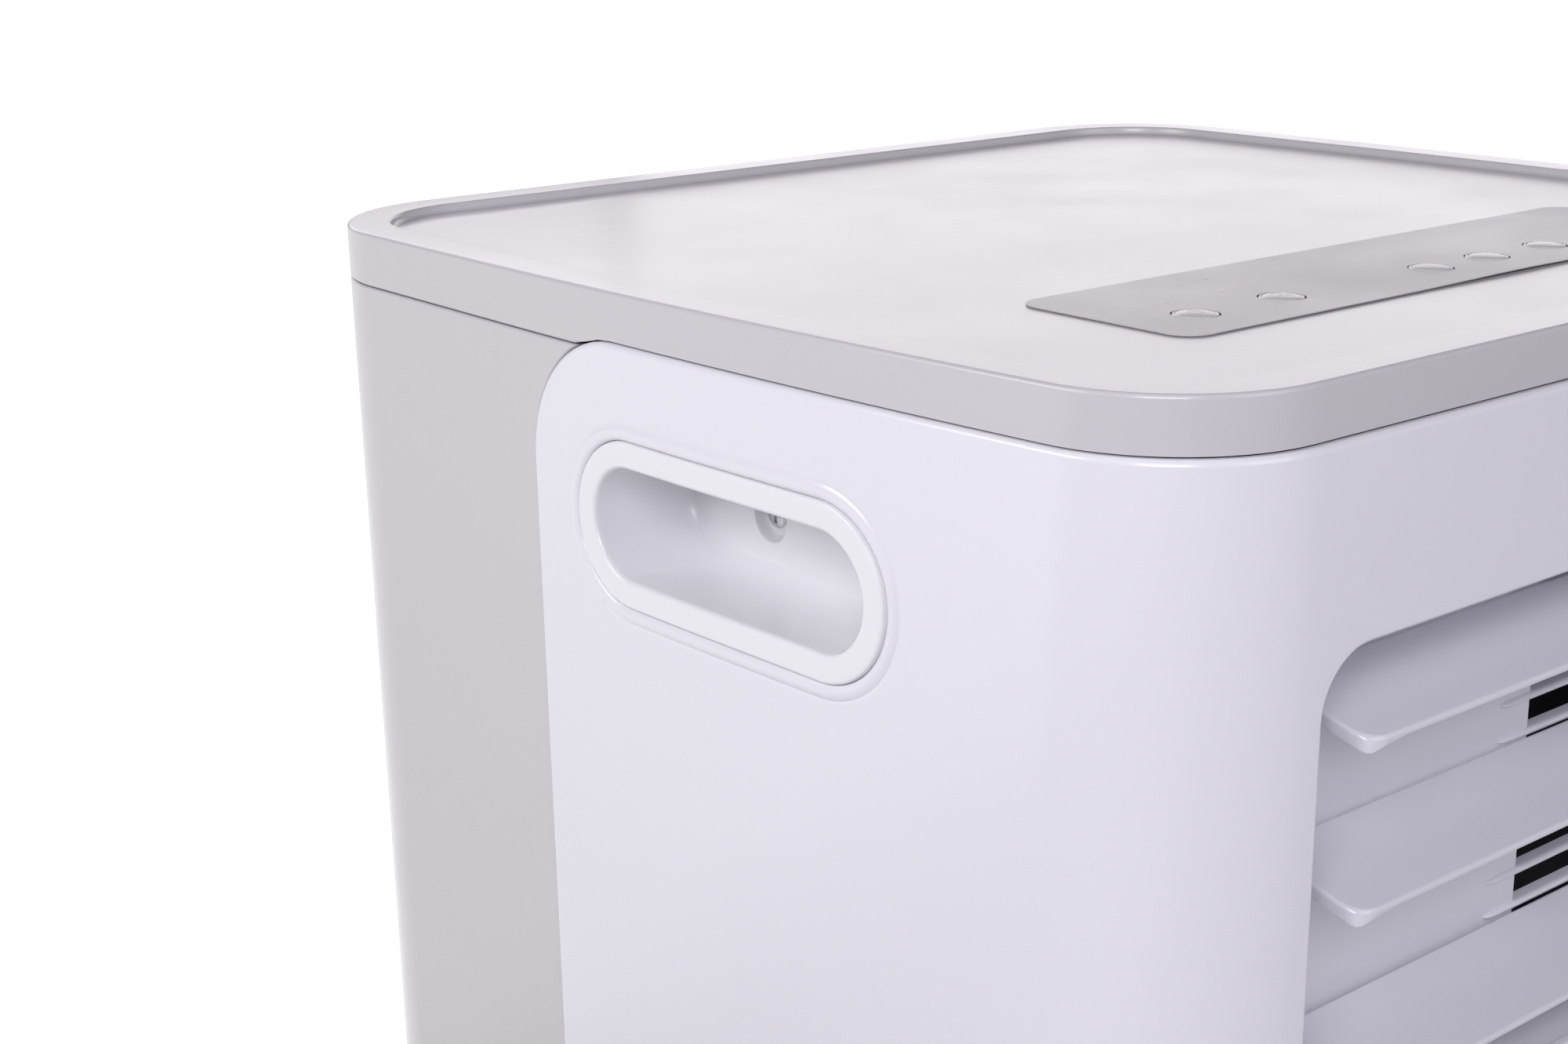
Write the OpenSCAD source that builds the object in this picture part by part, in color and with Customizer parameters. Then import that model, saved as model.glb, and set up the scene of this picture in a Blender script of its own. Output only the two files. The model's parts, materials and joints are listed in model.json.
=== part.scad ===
// Portable air conditioner: cabinet on casters, top control panel, front outlet
// louvres, rear intakes, exhaust collar, and the refrigeration set inside.
// Millimetres. The origin is on the floor under the middle; the front faces -Y.

/* [Cabinet] */
// Width over the rear of the lid
body_w = 345; // [335:1:420]
// Depth of the lid
body_d = 330; // [325:1:400]
// Height from the floor to the top of the lid
body_h = 700; // [680:1:900]
// Radius of the two rear corners in plan
rear_corner_r = 45; // [25:1:60]
// Radius of the two front corners in plan
front_corner_r = 37.7; // [25:0.1:60]
// Radius of the long curve that draws the sides in towards the front
side_curve_r = 1912; // [1500:10:6000]
// Length of the straight part of each side, from the back
side_straight = 111.5; // [100:0.5:130]
// Height of the cabinet's underside above the floor
ground_gap = 45; // [40:1:60]

/* [Lid] */
// Height of the lid's outer band
lid_band_h = 14.5; // [12:0.5:20]
// Width of the raised lip round the lid
lid_lip_w = 13; // [8:0.5:20]
// Height of the raised lip over the deck
lid_lip_h = 2.5; // [1.5:0.1:4]
// Thickness of the lid's deck and skirt
lid_wall = 3; // [2:0.1:4]
// Gap between the lid and the shells
lid_seam = 0.4; // [0.3:0.1:1]

/* [Shells] */
// Wall thickness of the shells
shell_wall = 2.5; // [2:0.1:3.5]
// How far the front shell stands out from the lid at the sides
side_proud = 1; // [0.5:0.1:2]
// How far the front shell stands out from the lid at the front
face_proud = 2; // [1:0.1:4]
// How far the top edge of the front shell is below the lid's top
front_top_drop = 12.2; // [11:0.1:14]
// Distance from the back to the rear edge of the front shell's wings
wing_back = 127.5; // [115:0.5:135]
// Corner radius at the top of each wing
wing_corner_r = 34; // [20:1:45]

/* [Handles] */
// Length of the handle's outer ring
handle_len = 108.4; // [100:0.2:118]
// Height of the handle's outer ring
handle_h = 41.2; // [38:0.2:48]
// Width of the ring around the pocket mouth
handle_ring_w = 6.8; // [5:0.1:8]
// Depth of the pocket
handle_depth = 23; // [18:1:30]
// Distance of the handle's middle in front of the cabinet's middle
handle_forward = 36; // [25:1:45]
// Distance of the handle's middle below the lid's top
handle_drop = 55.4; // [50:0.2:70]

/* [Outlet] */
// Width of the front opening
outlet_w = 243; // [220:1:250]
// Height of the front opening
outlet_h = 120; // [115:1:140]
// Distance of the opening's top below the lid's top
outlet_drop = 55; // [50:1:70]
// Corner radius of the opening
outlet_r = 14; // [8:1:20]
// Gap between each end of a louvre and the side of the opening
louvre_end_gap = 11.5; // [10:0.5:20]
// Depth of a louvre, front to back
louvre_chord = 27; // [22:0.5:28]
// Thickness of a louvre
louvre_t = 3.4; // [2.5:0.1:4]
// Downward slope of a louvre at rest, in degrees
louvre_slope = 14; // [5:1:20]
// How far the louvre lips stand out from the lid's front line
louvre_proud = 5; // [3:0.5:6]
// Radius of a louvre's pivot pin
pivot_r = 2.5; // [2:0.1:3]
// Distance from a louvre's pivot to its crank pin
crank_reach = 11; // [9:0.5:13]
// Radius of a crank pin
crank_pin_r = 1.5; // [1.2:0.1:2]

/* [Control panel] */
// Width of the membrane
panel_w = 212; // [200:1:240]
// Depth of the membrane, front to back
panel_d = 53; // [45:1:60]
// Distance of the membrane's middle in front of the cabinet's middle
panel_forward = 89; // [80:1:95]
// Thickness of the membrane
panel_t = 0.6; // [0.4:0.1:1]
// Radius of a button
button_r = 5.35; // [4:0.05:7]
// Travel of a button
button_travel = 0.8; // [0.4:0.1:1.2]

/* [Back] */
// Width of the two intake grilles
grille_w = 240; // [200:1:242]
// Height of the upper intake grille
upper_grille_h = 205; // [170:1:210]
// Height of the lower intake grille
lower_grille_h = 160; // [140:1:165]
// Inside radius of the exhaust collar
exhaust_r = 65; // [54:1:66]
// Distance of the exhaust collar to the right of the middle
exhaust_x = 60; // [50:1:62]
// Height of the exhaust collar's middle above the floor
exhaust_z = 318; // [312:1:320]
// Radius of a drain spout's hole
drain_r = 7; // [5:0.5:9]

/* [Casters] */
// Radius of a caster wheel
wheel_r = 19; // [15:0.5:20]
// Width of a caster wheel
wheel_w = 14; // [10:0.5:18]
// Distance from a caster's stem to its wheel's axle
caster_trail = 9; // [6:0.5:12]
// Radius of a caster's stem
stem_r = 4; // [3.5:0.1:5]
// Distance between the left and right casters
caster_span_x = 250; // [230:1:262]
// Distance between the front and rear casters
caster_span_y = 230; // [210:1:240]

/* [Refrigeration] */
// Radius of the compressor
compressor_r = 54; // [48:1:56]
// Height of the compressor
compressor_h = 200; // [180:1:240]
// Radius of the evaporator's blower wheel
evaporator_wheel_r = 82; // [70:1:84]
// Radius of the condenser's blower wheel
condenser_wheel_r = 72; // [60:1:74]
// Depth of both blower wheels
blower_depth = 55; // [45:1:58]
// Radius of a blower motor
motor_r = 42; // [36:1:44]
// Radius of a motor shaft
shaft_r = 4; // [3:0.5:5]
// Radius of a copper pipe
pipe_r = 4; // [3:0.5:5]

/* [Hidden] */
$fn = 48;
fit = 0.05;
gap = 0.3;

lid_deck = body_h - lid_lip_h;
lid_under = lid_deck - lid_wall;
lid_bottom = body_h - lid_band_h;
shell_top = lid_bottom - lid_seam;
front_top = body_h - front_top_drop;
front_y = -body_d / 2;
rear_y = body_d / 2;
front_inner_y = front_y - face_proud + shell_wall;
rear_inner_y = rear_y - shell_wall;
rear_reach = rear_y + louvre_proud;
wing_edge_y = rear_y - wing_back;
side_curve_y = rear_y - side_straight;
tab_t = 1.6;
tab_reach = 9;

pan_floor_t = 3;
pan_wall_h = 22;
pan_wall_t = 2.5;
pan_inset = shell_wall + 0.7;
pan_floor = ground_gap + pan_floor_t;
boss_r = 13;
boss_h = 20;
stem_depth = 17;
deck_z = 395;
deck_t = 3;
deck_top = deck_z + deck_t;
deck_hole = [70, 40];

handle_y = -handle_forward;
handle_z = body_h - handle_drop;
handle_wall = 2;
handle_back_x = body_w / 2 - handle_depth - 4;
ring_rise = 0.3;
screw_head_r = 3.6;
screw_head_h = 1.8;
screw_shank_r = 1.9;
handle_screw = [handle_y + 14, handle_z + 1.4];
shell_screw_x = 122;
shell_screw_zs = [shell_top - 12, deck_top + 9, ground_gap + 9];
shell_screws_at = [for (x = [-shell_screw_x, shell_screw_x], z = shell_screw_zs) [x, z]];

outlet_top = body_h - outlet_drop;
outlet_bottom = outlet_top - outlet_h;
outlet_mid = (outlet_top + outlet_bottom) / 2;
grille_t = 3;
grille_wall_y = front_y + 24;
outlet_half = outlet_w / 2;
side_wall_x = outlet_half + 1;
grille_front_y = front_inner_at(side_wall_x + grille_t) + gap;
slot_left = -10;
slot_right = outlet_half - 12;
rib_t = 1.6;
rib_rise = 1.5;
rib_pitch = 9.1;
rib_start = 12.4;
rib_count = floor((outlet_h - 12) / rib_pitch);
strut_count = 3;
louvre_half = outlet_half - louvre_end_gap;
louvre_corner_r = 6;
louvre_tail = 3.5;
lip_y = front_y - louvre_proud;
lip_to_pivot = louvre_chord - louvre_tail;
lip_drops = [19.9, 58.1, 103.7];
louvre_count = len(lip_drops);
pin_reach = side_wall_x + grille_t - 0.4;
pivot_y = lip_y + lip_to_pivot * cos(louvre_slope) + louvre_t / 2 * sin(louvre_slope);
crank_y = pivot_y - crank_reach * cos(louvre_slope);
swing_motor_x = side_wall_x + grille_t + gap;
swing_motor_len = 16 - gap;
swing_motor_r = min(13, pivot_y - gap - front_inner_at(swing_motor_x + swing_motor_len));
swing_ear_x = swing_motor_x + 5 - gap;
swing_ear_half = min(16, pivot_y - gap - front_inner_at(swing_ear_x + 2));
link_t = 2.5;
link_w = 8;
link_x = louvre_half + 2.5;

panel_y = -panel_forward;
button_xs = [-85.7, -56.7, -1.3, 21.4, 46, 82];
button_names = ["timer_button", "fan_button", "mode_button", "down_button", "up_button", "power_button"];
button_y = panel_y - 10;
button_rise = 1.1;
button_bevel = 0.7;
board_top = lid_under - 8;
board_t = 1.6;
switch_h = 3;
switch_gap = 0.2;
carrier_t = 2;
carrier_h = lid_under - board_top + board_t + carrier_t;

upper_grille_z = body_h - 166;
lower_grille_z = pan_floor + pan_wall_h + lower_grille_h / 2 + 4;
intake_rise = 2;
intake_bar = 3;
intake_pitch = 8;
intake_margin = 12;
pull_r = 5;
filter_t = 4;
filter_margin = 5;
collar_t = 3;
collar_flange = 10;
drain_wall = 3;
drain_x = -95;
drain_zs = [deck_top + 12, pan_floor + 12];
gland_r = 9;
gland_x = 98;
gland_z = pan_floor + 12;

coil_w = 236;
coil_d = 40;
coil_y = rear_inner_y - 17 - coil_d;
end_plate_t = 2;
bend_r = 9;
bend_count = 6;
evaporator_z = deck_top + 22;
evaporator_h = upper_grille_h + 4;
condenser_z = ground_gap + boss_h + 1;
condenser_h = lower_grille_h + 16;
tray_h = 18;

duct_t = 2.5;
volute_gap = 7;
volute_grow = 13;
fan_y = coil_y - 14 - blower_depth;
housing_front = fan_y - 5;
housing_rear = fan_y + blower_depth + 5;
upper_fan_z = deck_top + 107;
lower_fan_x = 42;
lower_fan_z = pan_floor + 108;
upper_housing_top = upper_fan_z + evaporator_wheel_r + volute_gap + volute_grow;
lower_housing_top = lower_fan_z + condenser_wheel_r + volute_gap + volute_grow;
duct_half = outlet_half - 3;
duct_top = outlet_top - 2;
duct_bottom = outlet_bottom + 4;
duct_front = grille_wall_y + grille_t + gap;
plenum_left = exhaust_x - exhaust_r - 8;
plenum_right = exhaust_x + exhaust_r + 8;
plenum_rear = rear_inner_y - 8;
blade_count = 24;
hub_r = 12;
motor_len = 52;
motor_back = housing_front - 4;

compressor_x = -92;
compressor_y = -72;
foot_r = 9;
foot_h = 14;
accumulator_r = 20;
accumulator_x = compressor_x + 58;
accumulator_y = compressor_y - 56;
accumulator_z = pan_floor + 40;
box_size = [84, 62, 150];
box_at = [62, front_y + 22, pan_floor + 130];

caster_x = caster_span_x / 2;
caster_y = caster_span_y / 2;
axle_r = 3;
fork_t = 3;
fork_top = ground_gap - 1;
cheek_y = wheel_w / 2 + 0.6;

// ---- outlines -------------------------------------------------------------

// Points of an arc from one angle to another about a centre.
function arc(centre, r, from, to, steps) =
    [for (i = [0:steps])
        let (a = from + (to - from) * i / steps)
        centre + r * [cos(a), sin(a)]];

// Where the inner face of the front shell lies at a distance x from the middle.
function front_inner_at(x) =
    let (corner_y = front_y - face_proud + side_proud + front_corner_r,
         corner_x = body_w / 2 - side_curve_r
                    + sqrt(pow(side_curve_r - front_corner_r, 2) - pow(side_curve_y - corner_y, 2)),
         r = front_corner_r + side_proud - shell_wall,
         beyond = max(0, x - corner_x))
    corner_y - sqrt(pow(r, 2) - pow(beyond, 2));

// The right half of the plan outline, from the front round to the back.
// inset moves it inwards; front is the line of the front face before the inset.
function plan_right(inset, front) =
    let (side_c = [body_w / 2 - side_curve_r, side_curve_y],
         corner_y = front + front_corner_r,
         corner_x = side_c[0] + sqrt(pow(side_curve_r - front_corner_r, 2) - pow(side_curve_y - corner_y, 2)),
         turn = -asin((side_curve_y - corner_y) / (side_curve_r - front_corner_r)),
         rear_c = [body_w / 2 - rear_corner_r, rear_y - rear_corner_r])
    concat(arc([corner_x, corner_y], front_corner_r - inset, -90, turn, 10),
           arc(side_c, side_curve_r - inset, turn * 5 / 6, 0, 5),
           arc(rear_c, rear_corner_r - inset, 0, 90, 10));

function mirrored(points) =
    [for (i = [len(points) - 1:-1:0]) [-points[i][0], points[i][1]]];

module plan(inset, front = front_y) {
    right = plan_right(inset, front);
    polygon(concat(right, mirrored(right)));
}

// A wall that follows the plan outline, between two insets.
module plan_wall(outer, inner, front = front_y) {
    difference() {
        plan(outer, front);
        plan(inner, front);
    }
}

module rounded_rect(w, h, r) {
    x = w / 2 - r;
    y = h / 2 - r;
    polygon(concat(arc([x, y], r, 0, 90, 8), arc([-x, y], r, 90, 180, 8),
                   arc([-x, -y], r, 180, 270, 8), arc([x, -y], r, 270, 360, 8)));
}

// Extrudes a shape drawn in Y and Z along X, from x0 to x1.
module along_x(x0, x1) {
    translate([x0, 0, 0]) rotate([90, 0, 90]) linear_extrude(x1 - x0) children();
}

// Extrudes a shape drawn in X and Z along Y, from y0 to y1.
module along_y(y0, y1) {
    translate([0, y1, 0]) rotate([90, 0, 0]) linear_extrude(y1 - y0) children();
}

// A cylinder along X or Y between two positions.
module rod_x(x0, x1, r) {
    translate([x0, 0, 0]) rotate([0, 90, 0]) cylinder(h = x1 - x0, r = r);
}

module rod_y(y0, y1, r) {
    translate([0, y0, 0]) rotate([-90, 0, 0]) cylinder(h = y1 - y0, r = r);
}

// Side view of the area that the front shell covers, larger all round by grow.
module wing_area(grow) {
    corner = [wing_edge_y - wing_corner_r, front_top - wing_corner_r];
    polygon(concat([[front_y - 60, 0], [wing_edge_y + grow, 0]],
                   arc(corner, wing_corner_r + grow, 0, 90, 12),
                   [[front_y - 60, front_top + grow]]));
}

module handle_outline(shrink) {
    translate([handle_y, handle_z])
        rounded_rect(handle_len - 2 * shrink, handle_h - 2 * shrink, handle_h / 2 - shrink - 0.05);
}

// ---- cabinet --------------------------------------------------------------

module lid() {
    color("gainsboro") difference() {
        translate([0, 0, lid_bottom]) linear_extrude(lid_band_h) plan(0);
        translate([0, 0, lid_deck]) linear_extrude(lid_lip_h + 1) plan(lid_lip_w);
        translate([0, 0, lid_bottom - 1]) linear_extrude(lid_under - lid_bottom + 1) plan(lid_wall);
        along_x(-body_w, body_w) wing_area(gap);
        for (x = button_xs)
            translate([x, button_y, lid_under - 1]) cylinder(h = 10, r = button_r + gap);
    }
}

module front_shell() {
    color("white") difference() {
        intersection() {
            translate([0, 0, ground_gap]) linear_extrude(body_h)
                plan_wall(-side_proud, shell_wall - side_proud, front_y - face_proud + side_proud);
            along_x(-body_w, body_w) wing_area(0);
        }
        along_y(front_y - 20, front_y + 20)
            translate([0, outlet_mid]) rounded_rect(2 * outlet_half, outlet_h, outlet_r);
        along_x(-body_w, body_w) handle_outline(-gap);
    }
}

// Round holes along Y through the rear wall of a piece.
module rear_hole(x, z, r) {
    translate([x, 0, z]) rod_y(rear_y - 20, rear_y + 20, r);
}

module screw_holes() {
    for (at = shell_screws_at) rear_hole(at[0], at[1], screw_shank_r + gap);
}

module rear_shell() {
    color("lightgray") difference() {
        union() {
            difference() {
                translate([0, 0, ground_gap]) linear_extrude(shell_top - ground_gap) plan_wall(0, shell_wall);
                along_x(-body_w, body_w) wing_area(gap);
            }
            intersection() {
                translate([0, 0, ground_gap])
                    linear_extrude(shell_top - ground_gap) plan_wall(shell_wall, shell_wall + tab_t);
                along_x(-body_w, body_w) translate([wing_edge_y - tab_reach, pan_wall_h])
                    translate([0, pan_floor]) square([2 * tab_reach, body_h]);
            }
        }
        along_y(rear_y - 20, rear_y + 20) {
            translate([0, upper_grille_z]) rounded_rect(grille_w + 2 * gap, upper_grille_h + 2 * gap, 8);
            translate([0, lower_grille_z]) rounded_rect(grille_w + 2 * gap, lower_grille_h + 2 * gap, 8);
        }
        rear_hole(exhaust_x, exhaust_z, exhaust_r + collar_t + 2 + gap);
        for (z = drain_zs) rear_hole(drain_x, z, drain_r + drain_wall + gap);
        rear_hole(gland_x, gland_z, gland_r + gap);
        screw_holes();
    }
}

module base_pan() {
    color("dimgray") difference() {
        union() {
            translate([0, 0, ground_gap]) linear_extrude(pan_floor_t) plan(pan_inset);
            translate([0, 0, ground_gap])
                linear_extrude(pan_floor_t + pan_wall_h) plan_wall(pan_inset, pan_inset + pan_wall_t);
            for (x = [-1, 1], y = [-1, 1])
                translate([x * caster_x, y * caster_y, ground_gap]) cylinder(h = boss_h, r = boss_r);
        }
        for (x = [-1, 1], y = [-1, 1])
            translate([x * caster_x, y * caster_y, ground_gap - 1])
                cylinder(h = stem_depth + 1, r = stem_r + fit);
        rear_hole(drain_x, drain_zs[1], drain_r + drain_wall + gap);
        rear_hole(gland_x, gland_z, gland_r + gap);
        screw_holes();
    }
}

module mid_deck() {
    color("silver") difference() {
        translate([0, 0, deck_z]) linear_extrude(deck_t) plan(shell_wall + tab_t + 0.5);
        translate([compressor_x, compressor_y, deck_z - 1])
            linear_extrude(deck_t + 2) rounded_rect(deck_hole[0], deck_hole[1], 10);
    }
}

// ---- handles --------------------------------------------------------------

module left_handle() {
    color("white") difference() {
        union() {
            intersection() {
                translate([0, 0, handle_z - handle_h]) linear_extrude(2 * handle_h)
                    plan_wall(-side_proud - ring_rise, shell_wall - side_proud);
                along_x(-body_w, 0) handle_outline(0);
            }
            intersection() {
                translate([0, 0, handle_z - handle_h]) linear_extrude(2 * handle_h) plan(0);
                along_x(-body_w, -handle_back_x + handle_wall) handle_outline(handle_ring_w - handle_wall);
            }
        }
        along_x(-body_w, -handle_back_x) handle_outline(handle_ring_w);
        translate([0, handle_screw[0], handle_screw[1]]) rod_x(-body_w / 2, 0, screw_shank_r + gap);
    }
}

module right_handle() {
    mirror([1, 0, 0]) left_handle();
}

module screw(length) {
    difference() {
        cylinder(h = screw_head_h, r = screw_head_r);
        for (a = [0, 90]) rotate([0, 0, a]) translate([-2.2, -0.4, screw_head_h - 1]) cube([4.4, 0.8, 2]);
    }
    translate([0, 0, -length]) cylinder(h = length + 0.1, r = screw_shank_r);
}

module handle_screws() {
    color("silver") for (side = [-1, 1])
        translate([side * handle_back_x, handle_screw[0], handle_screw[1]])
            rotate([0, side * 90, 0]) screw(12);
}

module shell_screws() {
    color("silver") for (at = shell_screws_at)
        translate([at[0], rear_y, at[1]]) rotate([-90, 0, 0]) screw(7);
}

// ---- outlet ---------------------------------------------------------------

function lip_z(i) = outlet_top - lip_drops[i];
function pivot_z(i) = lip_z(i) + lip_to_pivot * sin(louvre_slope) - louvre_t / 2 * cos(louvre_slope);
function crank_z(i) = pivot_z(i) - crank_reach * sin(louvre_slope);

module outlet_grille() {
    slot_w = slot_right - slot_left;
    frame_w = 2 * outlet_half + 2;
    frame_h = outlet_h + 2;
    color("whitesmoke") difference() {
        union() {
            difference() {
                along_y(grille_front_y, grille_wall_y + grille_t) translate([0, outlet_mid])
                    rounded_rect(frame_w + 2 * grille_t, frame_h + 2 * grille_t, outlet_r + grille_t);
                along_y(front_inner_y - 5, grille_wall_y)
                    translate([0, outlet_mid]) rounded_rect(frame_w, frame_h, outlet_r);
                translate([slot_left, grille_wall_y - 1, outlet_bottom + 6])
                    cube([slot_w, grille_t + 2, outlet_h - 12]);
            }
            for (z = [for (i = [0:rib_count - 1]) outlet_bottom + rib_start + rib_pitch * i])
                translate([slot_left - 12, grille_wall_y - rib_rise, z])
                    cube([slot_w + 14, grille_t + rib_rise, rib_t]);
            for (i = [1:strut_count])
                translate([slot_left + slot_w * i / (strut_count + 1), grille_wall_y + 0.5, 0])
                    translate([0, 0, outlet_bottom + 3]) cube([2, 2, outlet_h - 6]);
        }
        for (i = [0:louvre_count - 1])
            translate([0, pivot_y, pivot_z(i)]) rod_x(-body_w / 2, body_w / 2, pivot_r + fit);
    }
}

// The plan of a louvre: square at the back, rounded at the two front corners.
module louvre_plan() {
    x = louvre_half - louvre_corner_r;
    y = -louvre_chord + louvre_corner_r;
    polygon(concat([[louvre_half, 0], [-louvre_half, 0]], arc([-x, y], louvre_corner_r, 180, 270, 6),
                   arc([x, y], louvre_corner_r, 270, 360, 6)));
}

// A blade with a pivot pin at each end and a crank pin at its right end.
module louvre(i) {
    color("white") translate([0, pivot_y, pivot_z(i)]) {
        rotate([louvre_slope, 0, 0]) translate([0, louvre_tail, -louvre_t / 2])
            linear_extrude(louvre_t) louvre_plan();
        rod_x(louvre_half - 3, pin_reach, pivot_r);
        rod_x(-pin_reach, -louvre_half + 3, pivot_r);
        translate([0, crank_y - pivot_y, crank_z(i) - pivot_z(i)])
            rod_x(louvre_half - 3, link_x + link_t + 1.5, crank_pin_r);
    }
}

module upper_louvre() { louvre(0); }
module middle_louvre() { louvre(1); }
module lower_louvre() { louvre(2); }

module louvre_link() {
    bottom = crank_z(louvre_count - 1) - link_w / 2;
    color("white") difference() {
        along_x(link_x, link_x + link_t) translate([crank_y - link_w / 2, bottom])
            square([link_w, crank_z(0) - bottom + link_w / 2]);
        translate([0, crank_y, crank_z(0)]) rod_x(0, body_w / 2, crank_pin_r + fit);
        for (i = [1:louvre_count - 1])
            translate([0, crank_y, crank_z(i)]) rod_x(0, body_w / 2, crank_pin_r + gap);
    }
}

module swing_motor() {
    color("silver") translate([0, pivot_y, pivot_z(1)]) {
        rod_x(swing_motor_x, swing_motor_x + swing_motor_len, swing_motor_r);
        translate([swing_ear_x, -swing_ear_half, -2]) cube([2, 2 * swing_ear_half, 4]);
    }
}

// ---- air path -------------------------------------------------------------

module duct_side(inset) {
    rear_bottom = upper_housing_top + gap + inset;
    polygon([[duct_front + inset, duct_bottom + inset], [housing_front + inset, rear_bottom],
             [housing_rear - inset, rear_bottom], [housing_rear - inset, duct_top - inset],
             [duct_front + inset, duct_top - inset]]);
}

module outlet_duct() {
    color("gainsboro") difference() {
        along_x(-duct_half, duct_half) duct_side(0);
        along_x(-duct_half + duct_t, duct_half - duct_t) duct_side(duct_t);
        translate([-duct_half + duct_t, duct_front - 5, duct_bottom + duct_t])
            cube([2 * (duct_half - duct_t), 12, duct_top - duct_bottom - 2 * duct_t]);
        translate([-20, housing_front + 6, upper_housing_top - 5])
            cube([80, housing_rear - housing_front - 12, 12]);
    }
}

// A spiral fan casing outline: its radius grows by volute_grow over one turn,
// and it is widest just right of the top, where it opens.
module volute(r) {
    polygon([for (a = [0:10:350]) (r + volute_grow * a / 360) * [sin(a + 30), cos(a + 30)]]);
}

// A fan casing with its inlet at the back, its outlet on top and a foot below.
module fan_housing(x, z, wheel_r, floor_z) {
    r = wheel_r + volute_gap;
    depth = housing_rear - housing_front;
    translate([x, 0, z]) difference() {
        union() {
            along_y(housing_front, housing_rear) volute(r);
            translate([-wheel_r / 2, housing_front, floor_z - z]) cube([wheel_r, depth, z - floor_z - r / 2]);
        }
        along_y(housing_front + duct_t, housing_rear - duct_t) volute(r - duct_t);
        translate([-wheel_r / 2 + duct_t, housing_front - 1, floor_z - z + duct_t])
            cube([wheel_r - 2 * duct_t, depth + 2, max(1, z - floor_z - r - volute_grow - 2 * duct_t)]);
        rod_y(housing_rear - 10, housing_rear + 5, wheel_r - 10);
        rod_y(housing_front - 5, housing_front + 10, motor_r - 8);
        translate([-2, housing_front + duct_t + 3, wheel_r - 12]) cube([50, depth - 2 * duct_t - 6, 60]);
    }
}

module evaporator_housing() {
    color("gainsboro") fan_housing(0, upper_fan_z, evaporator_wheel_r, deck_top);
}

module condenser_housing() {
    color("gainsboro") fan_housing(lower_fan_x, lower_fan_z, condenser_wheel_r, pan_floor);
}

// A forward-curved blower wheel about the Y axis, with its motor shaft.
module blower_wheel(r) {
    back = fan_y + 2;
    rod_y(back, back + 2, r - 1);
    rod_y(back + 1, fan_y + 26, hub_r);
    rod_y(motor_back - 8, back + 1, shaft_r);
    difference() {
        rod_y(fan_y + blower_depth - 5, fan_y + blower_depth - 2, r);
        rod_y(fan_y + blower_depth - 8, fan_y + blower_depth, r - 13);
    }
    for (i = [0:blade_count - 1])
        rotate([0, i * 360 / blade_count, 0])
            translate([r - 12, back + 1, 0]) rotate([0, 35, 0]) cube([11, blower_depth - 6, 1.2]);
}

module evaporator_wheel() {
    color("dimgray") translate([0, 0, upper_fan_z]) blower_wheel(evaporator_wheel_r);
}

module condenser_wheel() {
    color("dimgray") translate([lower_fan_x, 0, lower_fan_z]) blower_wheel(condenser_wheel_r);
}

module motor_can() {
    difference() {
        union() {
            rod_y(motor_back - motor_len, motor_back - 6, motor_r);
            rod_y(motor_back - 7, motor_back - 1, motor_r - 6);
            rod_y(motor_back - motor_len - 4, motor_back - motor_len + 1, 14);
        }
        rod_y(motor_back - 10, motor_back + 1, shaft_r + gap);
    }
}

module evaporator_motor() {
    color("silver") translate([0, 0, upper_fan_z]) motor_can();
}

module condenser_motor() {
    color("silver") translate([lower_fan_x, 0, lower_fan_z]) motor_can();
}

// A saddle under a motor, standing on the floor below it.
module bracket(x, z, floor_z) {
    y = motor_back - motor_len + 8;
    difference() {
        translate([x - 38, y, floor_z]) cube([76, motor_len - 20, z - floor_z]);
        translate([x - 30, y - 1, floor_z + 3]) cube([60, motor_len, z - floor_z - motor_r - 12]);
        translate([x, 0, z]) rod_y(y - 5, y + motor_len + 5, motor_r + gap);
    }
}

module motor_brackets() {
    color("silver") {
        bracket(0, upper_fan_z, deck_top);
        bracket(lower_fan_x, lower_fan_z, pan_floor);
    }
}

module exhaust_duct() {
    bottom = lower_housing_top + 1;
    outside = [plenum_right - plenum_left, plenum_rear - housing_front, deck_z - bottom];
    color("gainsboro") difference() {
        translate([plenum_left, housing_front, bottom]) cube(outside);
        translate([plenum_left + duct_t, housing_front + duct_t, bottom + duct_t])
            cube(outside - 2 * duct_t * [1, 1, 1]);
        translate([lower_fan_x - 2, housing_front + duct_t + 3, bottom - 5])
            cube([50, housing_rear - housing_front - 2 * duct_t - 6, 12]);
        translate([exhaust_x, 0, exhaust_z]) rod_y(plenum_rear - 10, plenum_rear + 5, exhaust_r);
    }
}

module exhaust_collar() {
    color("whitesmoke") translate([exhaust_x, 0, exhaust_z]) difference() {
        union() {
            rod_y(plenum_rear + gap, rear_reach, exhaust_r + collar_t);
            rod_y(rear_inner_y, rear_y + 0.5, exhaust_r + collar_t + 2);
            rod_y(rear_y, rear_y + 2.5, exhaust_r + collar_flange);
        }
        rod_y(plenum_rear - 1, rear_reach + 1, exhaust_r);
        for (a = [45:90:315]) rotate([0, a, 0])
            translate([exhaust_r - 5, rear_reach - 3, -4]) cube([15, 5, 8]);
    }
}

// ---- intakes and drains ---------------------------------------------------

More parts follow.
